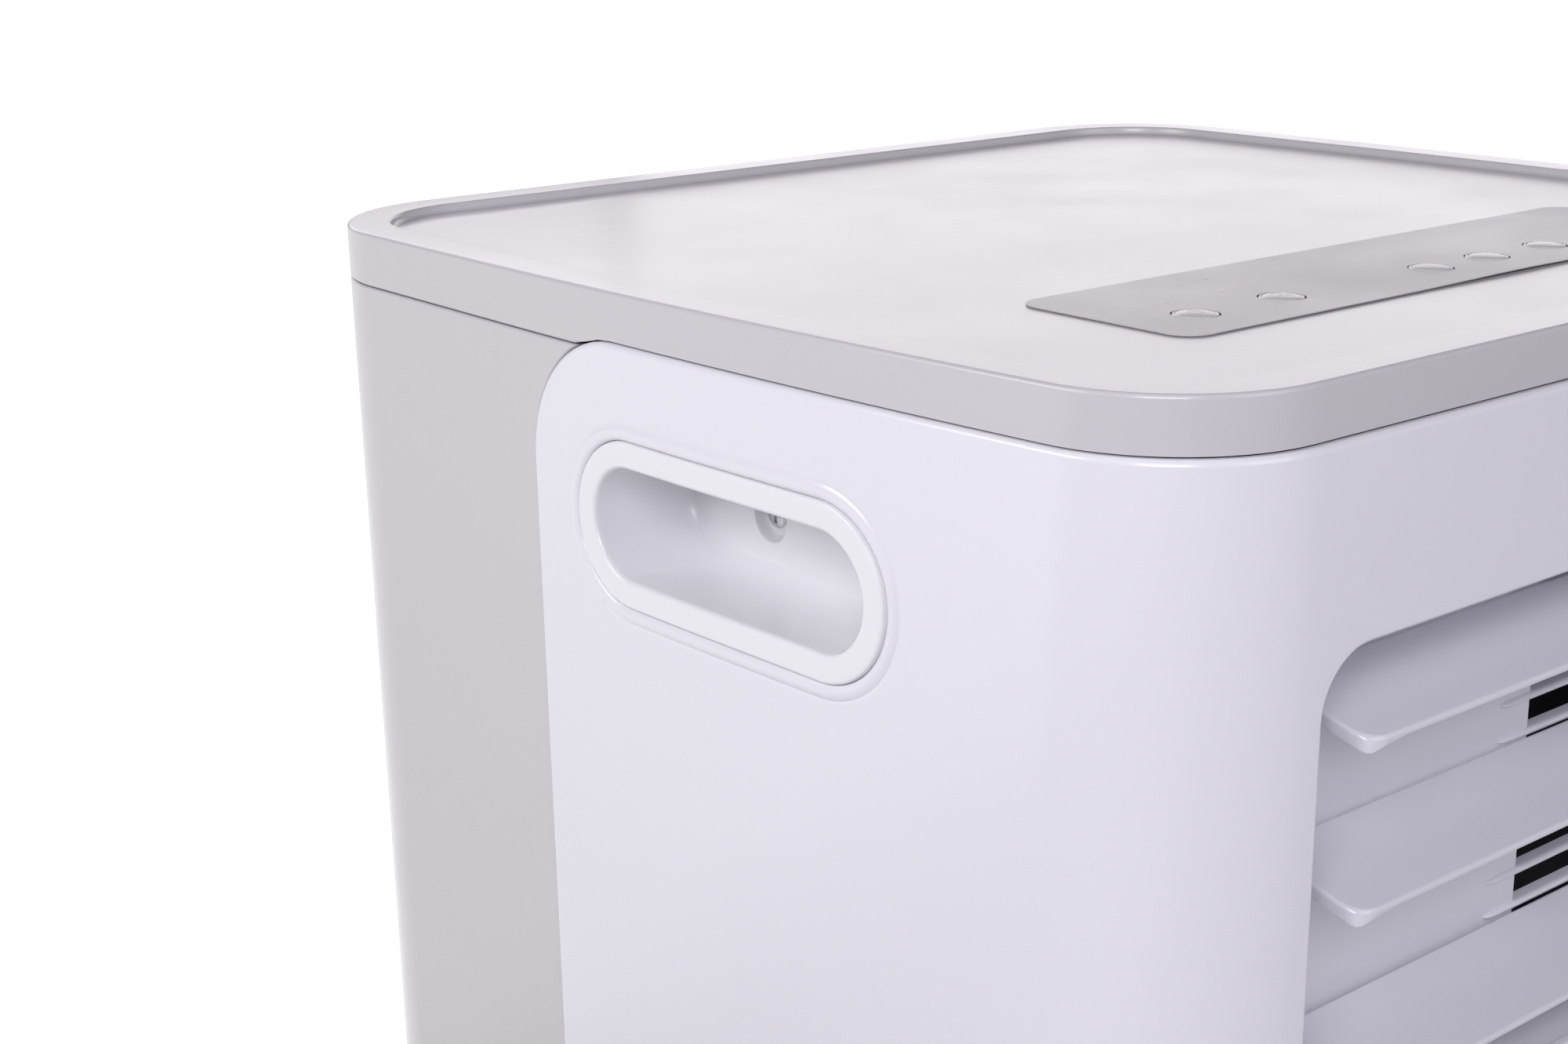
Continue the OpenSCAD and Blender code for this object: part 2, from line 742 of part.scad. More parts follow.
module intake_grille(z, h) {
    row_count = floor((h - 2 * intake_margin - pull_r) / intake_pitch);
    column_w = (grille_w - 4 * intake_margin) / 3;
    color("lightgray") difference() {
        along_y(rear_inner_y, rear_y + intake_rise) translate([0, z]) rounded_rect(grille_w, h, 8);
        for (i = [0:row_count - 1], column = [-1, 0, 1])
            translate([column * (column_w + intake_margin) - column_w / 2, rear_inner_y - 1,
                       z - h / 2 + intake_margin + intake_pitch * i])
                cube([column_w, shell_wall + intake_rise + 2, intake_pitch - intake_bar]);
        translate([0, 0, z + h / 2 - 9]) rod_y(rear_y, rear_y + 10, pull_r);
    }
}

// A filter: a frame with a thin mesh sheet across it.
module filter(z, h) {
    w = grille_w - 2 * filter_margin;
    hh = h - 2 * filter_margin;
    color("slategray") difference() {
        along_y(rear_inner_y - filter_t, rear_inner_y) translate([0, z]) rounded_rect(w, hh, 5);
        for (side = [-1, 1])
            translate([side * w / 4 - w / 4 + 5 + side, rear_inner_y - filter_t - 1, z - hh / 2 + 5])
                cube([w / 2 - 10, filter_t - 0.5, hh - 10]);
    }
}

module upper_intake_grille() { intake_grille(upper_grille_z, upper_grille_h); }
module upper_filter() { filter(upper_grille_z, upper_grille_h); }
module lower_intake_grille() { intake_grille(lower_grille_z, lower_grille_h); }
module lower_filter() { filter(lower_grille_z, lower_grille_h); }

// A rubber plug in its drain hole, with a pull knob outside.
module drain_plug(z) {
    color("dimgray") translate([drain_x, 0, z]) {
        rod_y(rear_inner_y - 1, rear_y + 1, drain_r + drain_wall - gap);
        rod_y(rear_y, rear_y + 2.5, drain_r + drain_wall + 2);
        translate([-5, rear_y + 2, -1.5]) cube([10, rear_reach - rear_y - 2, 3]);
    }
}

module upper_drain_plug() { drain_plug(drain_zs[0]); }
module lower_drain_plug() { drain_plug(drain_zs[1]); }

module cord_gland() {
    color("dimgray") translate([gland_x, 0, gland_z]) difference() {
        union() {
            rod_y(rear_inner_y - 10, rear_y, gland_r);
            rod_y(rear_y, rear_y + 2.5, gland_r + 3);
            rod_y(rear_y + 2, rear_reach, gland_r - 3);
        }
        rod_y(rear_inner_y, rear_reach + 1, 4);
    }
}

// ---- control panel --------------------------------------------------------

module control_membrane() {
    color("silver") difference() {
        translate([0, panel_y, lid_deck]) linear_extrude(panel_t) rounded_rect(panel_w, panel_d, 6);
        for (x = button_xs) translate([x, button_y, lid_deck - 1]) cylinder(h = 5, r = button_r + gap);
    }
}

// A dome button with a stem that ends just over its switch.
module button(i) {
    stem_z = board_top + switch_h + button_travel + switch_gap;
    color("silver") translate([button_xs[i], button_y, 0]) {
        translate([0, 0, lid_deck - 1]) cylinder(h = 1 + button_rise - button_bevel, r = button_r);
        translate([0, 0, lid_deck + button_rise - button_bevel])
            cylinder(h = button_bevel, r1 = button_r, r2 = button_r - 1.2);
        translate([0, 0, stem_z]) cylinder(h = lid_deck - 0.5 - stem_z, r = 2);
    }
}

module timer_button() { button(0); }
module fan_button() { button(1); }
module mode_button() { button(2); }
module down_button() { button(3); }
module up_button() { button(4); }
module power_button() { button(5); }

module control_carrier() {
    bottom = lid_under - carrier_h;
    color("whitesmoke") difference() {
        translate([0, panel_y, bottom]) linear_extrude(carrier_h - gap) rounded_rect(panel_w, panel_d, 5);
        translate([0, panel_y, bottom + carrier_t])
            linear_extrude(carrier_h) rounded_rect(panel_w - 5, panel_d - 5, 4);
        translate([-30, panel_y - 8, bottom - 1]) cube([20, 16, carrier_t + 2]);
    }
}

module control_board() {
    color("darkgreen") {
        translate([0, panel_y, board_top - board_t]) linear_extrude(board_t)
            rounded_rect(panel_w - 8, panel_d - 8, 3);
        for (x = button_xs) translate([x - 3, button_y - 3, board_top - 0.1]) cube([6, 6, switch_h + 0.1]);
    }
}

module display_module() {
    color("black") translate([-45, panel_y - 6, board_top]) cube([32, 18, 7]);
}

// ---- refrigeration --------------------------------------------------------

// A finned block with end plates and the return bends of its tubes.
module coil(z0, h) {
    pitch = (h - 30) / (bend_count - 1);
    translate([-coil_w / 2, coil_y, z0]) cube([coil_w, coil_d, h]);
    for (x = [-coil_w / 2 - end_plate_t, coil_w / 2])
        translate([x, coil_y - 2, z0]) cube([end_plate_t, coil_d + 4, h + 4]);
    for (side = [-1, 1], i = [0:bend_count - 1])
        translate([side * (coil_w / 2 + end_plate_t - 0.5), coil_y + coil_d / 2, z0 + 15 + pitch * i])
            rotate([0, side * 90, 0]) rotate([90, 0, 90])
                rotate_extrude(angle = 180) translate([bend_r, 0]) circle(r = pipe_r);
}

module evaporator_coil() { color("silver") coil(evaporator_z, evaporator_h); }
module condenser_coil() { color("silver") coil(condenser_z, condenser_h); }

// The condensate tray under the evaporator, with its spout to the upper drain.
module drain_tray() {
    tray_rear = coil_y + coil_d + 8;
    color("whitesmoke") difference() {
        union() {
            translate([-coil_w / 2 - 6, coil_y - 8, deck_top]) cube([coil_w + 12, coil_d + 16, tray_h]);
            translate([drain_x, 0, drain_zs[0]]) rod_y(tray_rear - 1, rear_inner_y - 2, drain_r + 2);
        }
        translate([-coil_w / 2 - 4, coil_y - 6, deck_top + 2]) cube([coil_w + 8, coil_d + 12, tray_h]);
        translate([drain_x, 0, drain_zs[0]]) rod_y(tray_rear - 5, rear_y, drain_r);
    }
}

module compressor() {
    bottom = pan_floor + foot_h;
    color("black") translate([compressor_x, compressor_y, bottom]) {
        linear_extrude(3) polygon(arc([0, 0], compressor_r + 14, 60, 300, 2));
        translate([0, 0, 2]) cylinder(h = 14, r1 = compressor_r - 14, r2 = compressor_r);
        translate([0, 0, 15]) cylinder(h = compressor_h - 45, r = compressor_r);
        translate([0, 0, compressor_h - 31]) cylinder(h = 20, r1 = compressor_r, r2 = compressor_r - 18);
        translate([0, 0, compressor_h - 12]) cylinder(h = 12, r = 16);
    }
}

module compressor_feet() {
    color("dimgray") for (a = [60, 180, 300])
        translate([compressor_x, compressor_y, pan_floor]) rotate([0, 0, a])
            translate([compressor_r + 4, 0, 0]) cylinder(h = foot_h, r = foot_r);
}

module accumulator() {
    color("black") translate([accumulator_x, accumulator_y, 0]) {
        translate([0, 0, pan_floor]) cylinder(h = accumulator_z - pan_floor + 1, r = 7);
        translate([0, 0, accumulator_z]) cylinder(h = 110, r = accumulator_r);
        translate([0, 0, accumulator_z + 109]) cylinder(h = 14, r1 = accumulator_r - 1, r2 = 8);
    }
}

// A pipe through a list of points, with a slightly larger ball at each bend.
module pipe(points) {
    for (i = [0:len(points) - 2]) {
        run = points[i + 1] - points[i];
        translate(points[i])
            rotate([0, acos(run[2] / norm(run)), atan2(run[1], run[0])]) cylinder(h = norm(run), r = pipe_r);
    }
    for (i = [1:len(points) - 2]) translate(points[i]) sphere(r = pipe_r + 0.6);
}

module copper_pipes() {
    top = pan_floor + foot_h + compressor_h + gap;
    side = -coil_w / 2 - 24;
    plate = -coil_w / 2 - end_plate_t - gap;
    hot_x = compressor_x - 6;
    cold_x = compressor_x + 10;
    cold_z = deck_top + 40;
    pipe_y = coil_y + 6;
    color("peru") {
        pipe([[hot_x, compressor_y, top], [hot_x, compressor_y, top + 30], [side, compressor_y, top + 30],
              [side, pipe_y, top + 30], [side, pipe_y, condenser_z + condenser_h - 6],
              [plate, pipe_y, condenser_z + condenser_h - 6]]);
        pipe([[accumulator_x, accumulator_y, accumulator_z + 123 + gap],
              [accumulator_x, accumulator_y, top + 50], [cold_x, compressor_y, top + 62],
              [cold_x, compressor_y, cold_z], [side, compressor_y, cold_z], [side, pipe_y, cold_z],
              [side, pipe_y, evaporator_z + 60], [plate, pipe_y, evaporator_z + 60]]);
    }
}

module electrical_box() {
    wall = 2;
    color("silver") translate(box_at) difference() {
        cube(box_size);
        translate([wall, wall, wall]) cube(box_size - [2 * wall, 2 * wall, 0]);
    }
}

module run_capacitor() {
    color("whitesmoke") translate(box_at + [30, box_size[1] / 2, 2]) {
        cylinder(h = 90, r = 22);
        for (x = [-7, 7]) translate([x - 1, -3, 89]) cube([2, 6, 12]);
    }
}

// ---- casters --------------------------------------------------------------

// The swivelling fork: its stem turns in the pan's boss, and the axle crosses it.
module caster_fork(x, y) {
    color("dimgray") translate([x * caster_x, y * caster_y, 0]) {
        translate([0, 0, fork_top - 1]) cylinder(h = stem_depth, r = stem_r);
        for (y0 = [-cheek_y - fork_t, cheek_y])
            along_y(y0, y0 + fork_t)
                polygon([[-9, fork_top], [-9, fork_top - 8], [caster_trail - 6, wheel_r - 5],
                         [caster_trail + 5, wheel_r - 5], [caster_trail + 8, wheel_r],
                         [caster_trail + 4, fork_top]]);
        translate([-9, -cheek_y - 1, fork_top - 3]) cube([caster_trail + 13, 2 * cheek_y + 2, 3]);
        translate([caster_trail, 0, wheel_r]) rod_y(-cheek_y - 1, cheek_y + 1, axle_r);
    }
}

module caster_wheel(x, y) {
    color("darkslategray") translate([x * caster_x + caster_trail, y * caster_y, wheel_r]) difference() {
        union() {
            rod_y(-wheel_w / 2, wheel_w / 2, wheel_r - 1);
            rod_y(-wheel_w / 2 + 1.5, wheel_w / 2 - 1.5, wheel_r);
        }
        rod_y(-wheel_w, wheel_w, axle_r + fit);
    }
}

module front_left_caster() { caster_fork(-1, -1); }
module front_right_caster() { caster_fork(1, -1); }
module rear_left_caster() { caster_fork(-1, 1); }
module rear_right_caster() { caster_fork(1, 1); }
module front_left_wheel() { caster_wheel(-1, -1); }
module front_right_wheel() { caster_wheel(1, -1); }
module rear_left_wheel() { caster_wheel(-1, 1); }
module rear_right_wheel() { caster_wheel(1, 1); }

// ---- nodes ----------------------------------------------------------------

lid();
front_shell();
rear_shell();
base_pan();
mid_deck();
left_handle();
right_handle();
handle_screws();
shell_screws();
outlet_grille();
upper_louvre();
middle_louvre();
lower_louvre();
louvre_link();
swing_motor();
outlet_duct();
control_membrane();
control_carrier();
control_board();
display_module();
timer_button();
fan_button();
mode_button();
down_button();
up_button();
power_button();
upper_intake_grille();
upper_filter();
lower_intake_grille();
lower_filter();
exhaust_collar();
exhaust_duct();
upper_drain_plug();
lower_drain_plug();
cord_gland();
evaporator_coil();
drain_tray();
evaporator_housing();
evaporator_wheel();
evaporator_motor();
condenser_coil();
condenser_housing();
condenser_wheel();
condenser_motor();
motor_brackets();
compressor();
accumulator();
compressor_feet();
copper_pipes();
electrical_box();
run_capacitor();
front_left_caster();
front_right_caster();
rear_left_caster();
rear_right_caster();
front_left_wheel();
front_right_wheel();
rear_left_wheel();
rear_right_wheel();
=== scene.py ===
"""The looks of a portable air conditioner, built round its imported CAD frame."""

import json
from math import asin, ceil, copysign, cos, degrees, dist, exp, hypot, pi, radians, sin, sqrt

import bmesh
import bpy
import numpy as np
from mathutils import Matrix, Vector, geometry, noise


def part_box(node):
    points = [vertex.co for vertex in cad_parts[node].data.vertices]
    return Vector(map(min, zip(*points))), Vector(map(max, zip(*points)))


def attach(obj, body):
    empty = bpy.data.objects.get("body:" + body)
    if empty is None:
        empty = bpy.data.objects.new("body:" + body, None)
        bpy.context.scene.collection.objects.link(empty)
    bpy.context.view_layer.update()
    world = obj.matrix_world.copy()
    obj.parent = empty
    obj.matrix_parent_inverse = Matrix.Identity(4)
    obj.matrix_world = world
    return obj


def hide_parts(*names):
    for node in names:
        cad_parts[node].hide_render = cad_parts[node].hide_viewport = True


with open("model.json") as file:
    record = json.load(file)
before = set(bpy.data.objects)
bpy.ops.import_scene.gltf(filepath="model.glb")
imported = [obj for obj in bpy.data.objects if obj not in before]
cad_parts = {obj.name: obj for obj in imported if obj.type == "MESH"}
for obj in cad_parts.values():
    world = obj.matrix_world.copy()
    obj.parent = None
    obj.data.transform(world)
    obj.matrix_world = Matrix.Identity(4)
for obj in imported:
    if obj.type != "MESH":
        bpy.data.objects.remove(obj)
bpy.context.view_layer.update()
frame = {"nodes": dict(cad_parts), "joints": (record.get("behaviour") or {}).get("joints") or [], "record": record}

MM = 0.001

# ---------------------------------------------------------------- the frame's own sizes

LID_LOW, LID_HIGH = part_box("lid")
FRONT_LOW, FRONT_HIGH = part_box("front_shell")
REAR_LOW, REAR_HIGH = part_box("rear_shell")
GRILLE_LOW, GRILLE_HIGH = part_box("outlet_grille")
TOP = LID_HIGH[2]
HALF_WIDTH = LID_HIGH[0]
REAR_Y = LID_HIGH[1]
FRONT_Y = LID_LOW[1]
BASE_Z = REAR_LOW[2]
SHELL_TOP = REAR_HIGH[2]
FRONT_TOP = FRONT_HIGH[2]
WING_Y = FRONT_HIGH[1]
SIDE_PROUD = 1.0 * MM
SHELL_FRONT_Y = FRONT_LOW[1] + SIDE_PROUD

# ---------------------------------------------------------------- sizes of the visible forms

WALL = 2.5 * MM
SEAM = 0.4 * MM
REAR_CORNER_R = 45 * MM
FRONT_CORNER_R = 37.7 * MM
SIDE_CURVE_R = 1912 * MM
SIDE_CURVE_Y = REAR_Y - 111.5 * MM
WING_CORNER_R = 34 * MM
LIP_W = 13 * MM
LIP_H = 2.5 * MM
HANDLE_MID = (-36 * MM, TOP - 55.4 * MM)
HANDLE_SIZE = (108.4 * MM, 41.2 * MM)
OUTLET_MID_Z = (GRILLE_LOW[2] + GRILLE_HIGH[2]) / 2
OUTLET_SIZE = (243 * MM, 120 * MM)
OUTLET_R = 14 * MM


# ---------------------------------------------------------------- materials

NOISE_DETAIL = 3.0
FINE_RELIEF = 0.2 * MM
NET_RELIEF = 0.6 * MM
FIN_RELIEF = 1.0 * MM
WAVE_SCALE = 0.05


def ramp_node(tree, source, low, high, start=0.3, end=0.7):
    ramp = tree.nodes.new("ShaderNodeValToRGB")
    for element, position, colour in zip(ramp.color_ramp.elements, (start, end), (low, high)):
        element.position = position
        element.color = (*colour, 1.0)
    tree.links.new(source, ramp.inputs["Fac"])
    return ramp.outputs["Color"]


def grey(value):
    return (value, value, value)


def darker(colour, share):
    return tuple(c * share for c in colour)


class Look:
    """A procedural material under construction."""

    def __init__(self, name):
        self.mat = bpy.data.materials.new(name)
        self.mat.use_nodes = True
        self.tree = self.mat.node_tree
        self.shader = self.tree.nodes["Principled BSDF"]
        self.coords = self.tree.nodes.new("ShaderNodeTexCoord").outputs["Object"]

    def texture(self, kind, vector=None, **values):
        """A texture node, read in the object's own coordinates unless a vector is given."""
        node = self.tree.nodes.new(kind)
        for socket, value in values.items():
            node.inputs[socket].default_value = value
        self.tree.links.new(vector or self.coords, node.inputs["Vector"])
        return node

    def noise(self, scale, detail=NOISE_DETAIL, rough=0.5):
        return self.texture("ShaderNodeTexNoise", Scale=scale, Detail=detail, Roughness=rough).outputs["Fac"]

    def wave(self, direction, pitch, distortion=0.0):
        node = self.texture("ShaderNodeTexWave", Scale=WAVE_SCALE / pitch, Distortion=distortion)
        node.bands_direction = direction
        return node.outputs["Fac"]

    def tone(self, socket, source, low, high, start=0.3, end=0.7):
        self.tree.links.new(ramp_node(self.tree, source, low, high, start, end), self.shader.inputs[socket])

    def relief(self, height, strength, distance):
        bump = self.tree.nodes.new("ShaderNodeBump")
        bump.inputs["Strength"].default_value = strength
        bump.inputs["Distance"].default_value = distance
        self.tree.links.new(height, bump.inputs["Height"])
        self.tree.links.new(bump.outputs["Normal"], self.shader.inputs["Normal"])

    def constant(self, socket, value):
        self.shader.inputs[socket].default_value = value


def plastic(name, colour, spread, rough, bump, bump_scale):
    """Moulded plastic: faint tone drift, uneven gloss and a fine surface texture."""
    look = Look(name)
    low = tuple(max(0.0, c - spread) for c in colour)
    high = tuple(min(1.0, c + spread) for c in colour)
    look.tone("Base Color", look.noise(7.0), low, high)
    look.tone("Roughness", look.noise(22.0, 5.0, 0.6), grey(rough[0]), grey(rough[1]))
    look.relief(look.noise(bump_scale, 2.0), bump, FINE_RELIEF)
    return look.mat


def metal(name, colour, rough, streak):
    """Bare or plated metal with drawn streaks."""
    look = Look(name)
    mapping = look.texture("ShaderNodeMapping", Scale=streak).outputs["Vector"]
    grain = look.texture("ShaderNodeTexNoise", mapping, Scale=20.0, Detail=4.0).outputs["Fac"]
    look.tone("Base Color", grain, darker(colour, 0.86), colour)
    look.tone("Roughness", grain, grey(rough[0]), grey(rough[1]))
    look.relief(grain, 0.1, FINE_RELIEF)
    look.constant("Metallic", 1.0)
    return look.mat


def mesh_fabric(name, colour, pitch):
    """A fine square net: two crossed waves that darken the gaps with painted shade and dent them."""
    look = Look(name)
    threads = [look.wave(direction, pitch, 0.15) for direction in ("X", "Z")]
    both = look.tree.nodes.new("ShaderNodeMath")
    both.operation = "MAXIMUM"
    for thread, socket in zip(threads, both.inputs):
        look.tree.links.new(thread, socket)
    # The darkened gaps are painted shade seen through the net's holes.
    look.tone("Base Color", both.outputs[0], darker(colour, 0.25), colour, 0.45, 0.8)
    look.relief(both.outputs[0], 0.8, NET_RELIEF)
    look.constant("Roughness", 0.8)
    return look.mat


def fin_stack(name, colour, pitch):
    """Aluminium fins seen edge on: fine upright bands, the gaps between fins darkened as painted shade."""
    look = Look(name)
    bands = look.wave("X", pitch)
    # The dark bands are painted shade in the gaps between the fins.
    look.tone("Base Color", bands, darker(colour, 0.15), colour, 0.3, 0.75)
    look.relief(bands, 0.9, FIN_RELIEF)
    look.constant("Metallic", 0.9)
    look.constant("Roughness", 0.35)
    return look.mat


# Each plastic: colour, tone drift, roughness from and to, relief strength and scale.
PLASTICS = {
    "white_gloss": ((0.70, 0.69, 0.74), 0.006, (0.16, 0.2), 0.02, 500.0),
    "grey_gloss": ((0.52, 0.505, 0.53), 0.006, (0.2, 0.25), 0.02, 500.0),
    "handle_white": ((0.735, 0.73, 0.76), 0.006, (0.2, 0.26), 0.03, 700.0),
    "louvre_white": ((0.66, 0.65, 0.71), 0.006, (0.12, 0.16), 0.015, 400.0),
    "grille_white": ((0.70, 0.69, 0.75), 0.006, (0.3, 0.36), 0.03, 600.0),
    "membrane_silver": ((0.42, 0.405, 0.42), 0.012, (0.3, 0.38), 0.1, 1600.0),
    "button_silver": ((0.52, 0.51, 0.52), 0.012, (0.22, 0.3), 0.05, 1600.0),
    "panel_ink": ((0.75, 0.75, 0.76), 0.01, (0.4, 0.5), 0.05, 1600.0),
    "rubber_black": ((0.03, 0.03, 0.032), 0.008, (0.6, 0.75), 0.3, 1200.0),
    "pan_dark": ((0.12, 0.12, 0.125), 0.01, (0.5, 0.62), 0.3, 900.0),
    "caster_black": ((0.035, 0.035, 0.038), 0.008, (0.35, 0.5), 0.2, 900.0),
    "duct_white": ((0.55, 0.55, 0.56), 0.02, (0.5, 0.6), 0.2, 600.0),
    "duct_dark": ((0.02, 0.02, 0.024), 0.005, (0.6, 0.7), 0.3, 600.0),
    "board_green": ((0.03, 0.16, 0.07), 0.01, (0.3, 0.4), 0.1, 900.0),
    "display_black": ((0.012, 0.012, 0.014), 0.004, (0.12, 0.18), 0.02, 900.0),
    "compressor_black": ((0.02, 0.02, 0.022), 0.006, (0.25, 0.35), 0.2, 300.0),
}
# Each metal: colour, roughness from and to, stretch of its grain.
METALS = {
    "steel_zinc": ((0.62, 0.64, 0.66), (0.2, 0.35), (60.0, 60.0, 4.0)),
    "sheet_steel": ((0.55, 0.56, 0.57), (0.35, 0.5), (12.0, 12.0, 12.0)),
    "copper": ((0.80, 0.42, 0.28), (0.25, 0.4), (30.0, 30.0, 30.0)),
}
LOOKS = {name: plastic(name, *values) for name, values in PLASTICS.items()}
LOOKS.update({name: metal(name, *values) for name, values in METALS.items()})
LOOKS["fin_aluminium"] = fin_stack("fin_aluminium", (0.70, 0.71, 0.72), 1.8 * MM)
LOOKS["filter_mesh"] = mesh_fabric("filter_mesh", (0.14, 0.15, 0.17), 1.2 * MM)


def finish_cad_nodes():
    """Gives every carried-over CAD node the procedural material of its slot."""
    slots = {entry["node"]: entry["material_slot"] for entry in frame["record"]["subparts"]}
    for name, obj in frame["nodes"].items():
        obj.data.materials.clear()
        obj.data.materials.append(LOOKS[slots[name]])


# ---------------------------------------------------------------- plan outline

class Plan:
    """The cabinet's outline seen from above, measured along its length from the front's middle."""

    def __init__(self, front_y):
        side_x = HALF_WIDTH - SIDE_CURVE_R
        corner_y = front_y + FRONT_CORNER_R
        reach = SIDE_CURVE_R - FRONT_CORNER_R
        corner_x = side_x + sqrt(reach ** 2 - (SIDE_CURVE_Y - corner_y) ** 2)
        turn = -asin((SIDE_CURVE_Y - corner_y) / reach)
        self.side_x = side_x
        self.turn = turn
        self.parts = [
            ("line", (0.0, front_y), (corner_x, front_y)),
            ("arc", (corner_x, corner_y), FRONT_CORNER_R, -pi / 2, turn),
            ("arc", (side_x, SIDE_CURVE_Y), SIDE_CURVE_R, turn, 0.0),
            ("line", (HALF_WIDTH, SIDE_CURVE_Y), (HALF_WIDTH, REAR_Y - REAR_CORNER_R)),
            ("arc", (HALF_WIDTH - REAR_CORNER_R, REAR_Y - REAR_CORNER_R), REAR_CORNER_R, 0.0, pi / 2),
            ("line", (HALF_WIDTH - REAR_CORNER_R, REAR_Y), (0.0, REAR_Y)),
        ]
        self.starts = [0.0]
        for part in self.parts:
            self.starts.append(self.starts[-1] + self.part_length(part))
        self.length = self.starts[-1]

    @staticmethod
    def part_length(part):
        if part[0] == "line":
            return dist(part[1], part[2])
        return part[2] * abs(part[4] - part[3])

    def at(self, q):
        """Point and outward normal at a signed length from the front's middle."""
        side = -1.0 if q < 0 else 1.0
        along = min(abs(q), self.length)
        index = 0
        while index < len(self.parts) - 1 and along > self.starts[index + 1]:
            index += 1
        part = self.parts[index]
        share = (along - self.starts[index]) / self.part_length(part)
        if part[0] == "line":
            (x0, y0), (x1, y1) = part[1], part[2]
            x, y = x0 + (x1 - x0) * share, y0 + (y1 - y0) * share
            run = dist(part[1], part[2])
            nx, ny = (y1 - y0) / run, -(x1 - x0) / run
        else:
            angle = part[3] + (part[4] - part[3]) * share
            nx, ny = cos(angle), sin(angle)
            x, y = part[1][0] + part[2] * nx, part[1][1] + part[2] * ny
        return side * x, y, side * nx, ny

    def side_length(self, y):
        """The length at which the right side reaches a given y."""
        if y >= SIDE_CURVE_Y:
            return self.starts[3] + y - SIDE_CURVE_Y
        angle = asin((y - SIDE_CURVE_Y) / SIDE_CURVE_R)
        return self.starts[2] + SIDE_CURVE_R * (angle - self.turn)

    def columns(self, low, high, corner_step=2.6 * MM, side_step=12 * MM):
        """Lengths between low and high, close together round the corners."""
        marks = [low, high]
        for index, part in enumerate(self.parts):
            step = corner_step if part[0] == "arc" and part[2] < 0.1 else side_step
            count = max(1, ceil(self.part_length(part) / step))
            for i in range(count + 1):
                q = self.starts[index] + self.part_length(part) * i / count
                marks.extend([q, -q])
        marks = sorted(q for q in marks if low <= q <= high)
        kept = [marks[0]]
        for q in marks[1:]:
            if q - kept[-1] > 0.2 * MM:
                kept.append(q)
        kept[-1] = high
        return kept


LID_PLAN = Plan(FRONT_Y)
SHELL_PLAN = Plan(SHELL_FRONT_Y)


# ---------------------------------------------------------------- mesh building

def wrap(plan, proud=0.0):
    """Places (length, height, depth) on the outline's wall, depth measured inwards."""
    def place(u, v, depth):
        x, y, nx, ny = plan.at(u)
        return Vector((x + nx * (proud - depth), y + ny * (proud - depth), v))
    return place


def wrap_back(plan):
    """The same, with lengths measured from the middle of the back towards -X."""
    def place(u, v, depth):
        side = -1.0 if u > 0 else 1.0
        x, y, nx, ny = plan.at(side * (plan.length - abs(u)))
        return Vector((x - nx * depth, y - ny * depth, v))
    return place


def flat(origin, across, up, inward):
    """Places (u, v, depth) on a plane."""
    origin, across, up, inward = Vector(origin), Vector(across), Vector(up), Vector(inward)

    def place(u, v, depth):
        return origin + across * u + up * v + inward * depth
    return place


def wall_place(x, y, z, inward):
    """Places on an upright plane seen from behind; depth runs along Y, forwards or backwards."""
    return flat((x, y, z), (-1, 0, 0), (0, 0, 1), (0, inward, 0))


def side_place(x, y, z, inward):
    """Places on an upright plane seen from the side; depth runs along X."""
    return flat((x, y, z), (0, 1, 0), (0, 0, 1), (inward, 0, 0))


def level(loop, z):
    return [Vector((x, y, z)) for x, y in loop]


def offset(rows, x=0.0, y=0.0):
    """Pairs of millimetres as metres from a point."""
    return [(x + a * MM, y + b * MM) for a, b in rows]


def quarter(steps, first=0):
    """The shares left over by sine and cosine over a quarter turn."""
    turns = [pi / 2 * i / steps for i in range(first, steps + 1)]
    return [(1 - sin(a), 1 - cos(a)) for a in turns]


def extent(node):
    """A node's middle and size across the back wall."""
    low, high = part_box(node)
    return (low[0] + high[0]) / 2, (low[2] + high[2]) / 2, high[0] - low[0], high[2] - low[2]


def centre_of(node):
    low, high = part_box(node)
    return tuple((a + b) / 2 for a, b in zip(low, high))


def square_grid(pitch, count):
    return [(x * pitch, y * pitch) for x in range(-count, count + 1) for y in range(-count, count + 1)]


def arc_points(cx, cy, r, start, end, steps):
    return [(cx + r * cos(radians(start + (end - start) * i / steps)),
             cy + r * sin(radians(start + (end - start) * i / steps))) for i in range(steps + 1)]


def rounded_rect(cx, cy, w, h, r, steps=10, step=0.02):
    """A rectangle with round corners, anticlockwise, its long sides cut into short steps."""
    x, y = w / 2 - r, h / 2 - r
    corners = [(x, y, 0), (-x, y, 90), (-x, -y, 180), (x, -y, 270)]
    points = []
    for dx, dy, start in corners:
        points.extend(arc_points(cx + dx, cy + dy, r, start, start + 90, steps))
    return fine_loop(points, step)


def circle(cx, cy, r, steps=40):
    return arc_points(cx, cy, r, 0, 360, steps)[:-1]


def fine_loop(points, step):
    """Cuts long edges of a closed loop so that none is longer than step."""
    out = []
    for i, a in enumerate(points):
        b = points[(i + 1) % len(points)]
        run = dist(a, b)
        if run < 1e-7:
            continue
        count = max(1, ceil(run / step))
        for k in range(count):
            out.append((a[0] + (b[0] - a[0]) * k / count, a[1] + (b[1] - a[1]) * k / count))
    return out


def shifted_loop(points, distance):
    """Moves a loop towards its left side, which is where the material is."""
    out = []
    n = len(points)
    for i, p in enumerate(points):
        a, b = points[i - 1], points[(i + 1) % n]
        e0 = Vector((p[0] - a[0], p[1] - a[1])).normalized()
        e1 = Vector((b[0] - p[0], b[1] - p[1])).normalized()
        n0, n1 = Vector((-e0.y, e0.x)), Vector((-e1.y, e1.x))
        mid = (n0 + n1).normalized()
        scale = distance / max(0.35, mid.dot(n0))
        out.append((p[0] + mid.x * scale, p[1] + mid.y * scale))
    return out


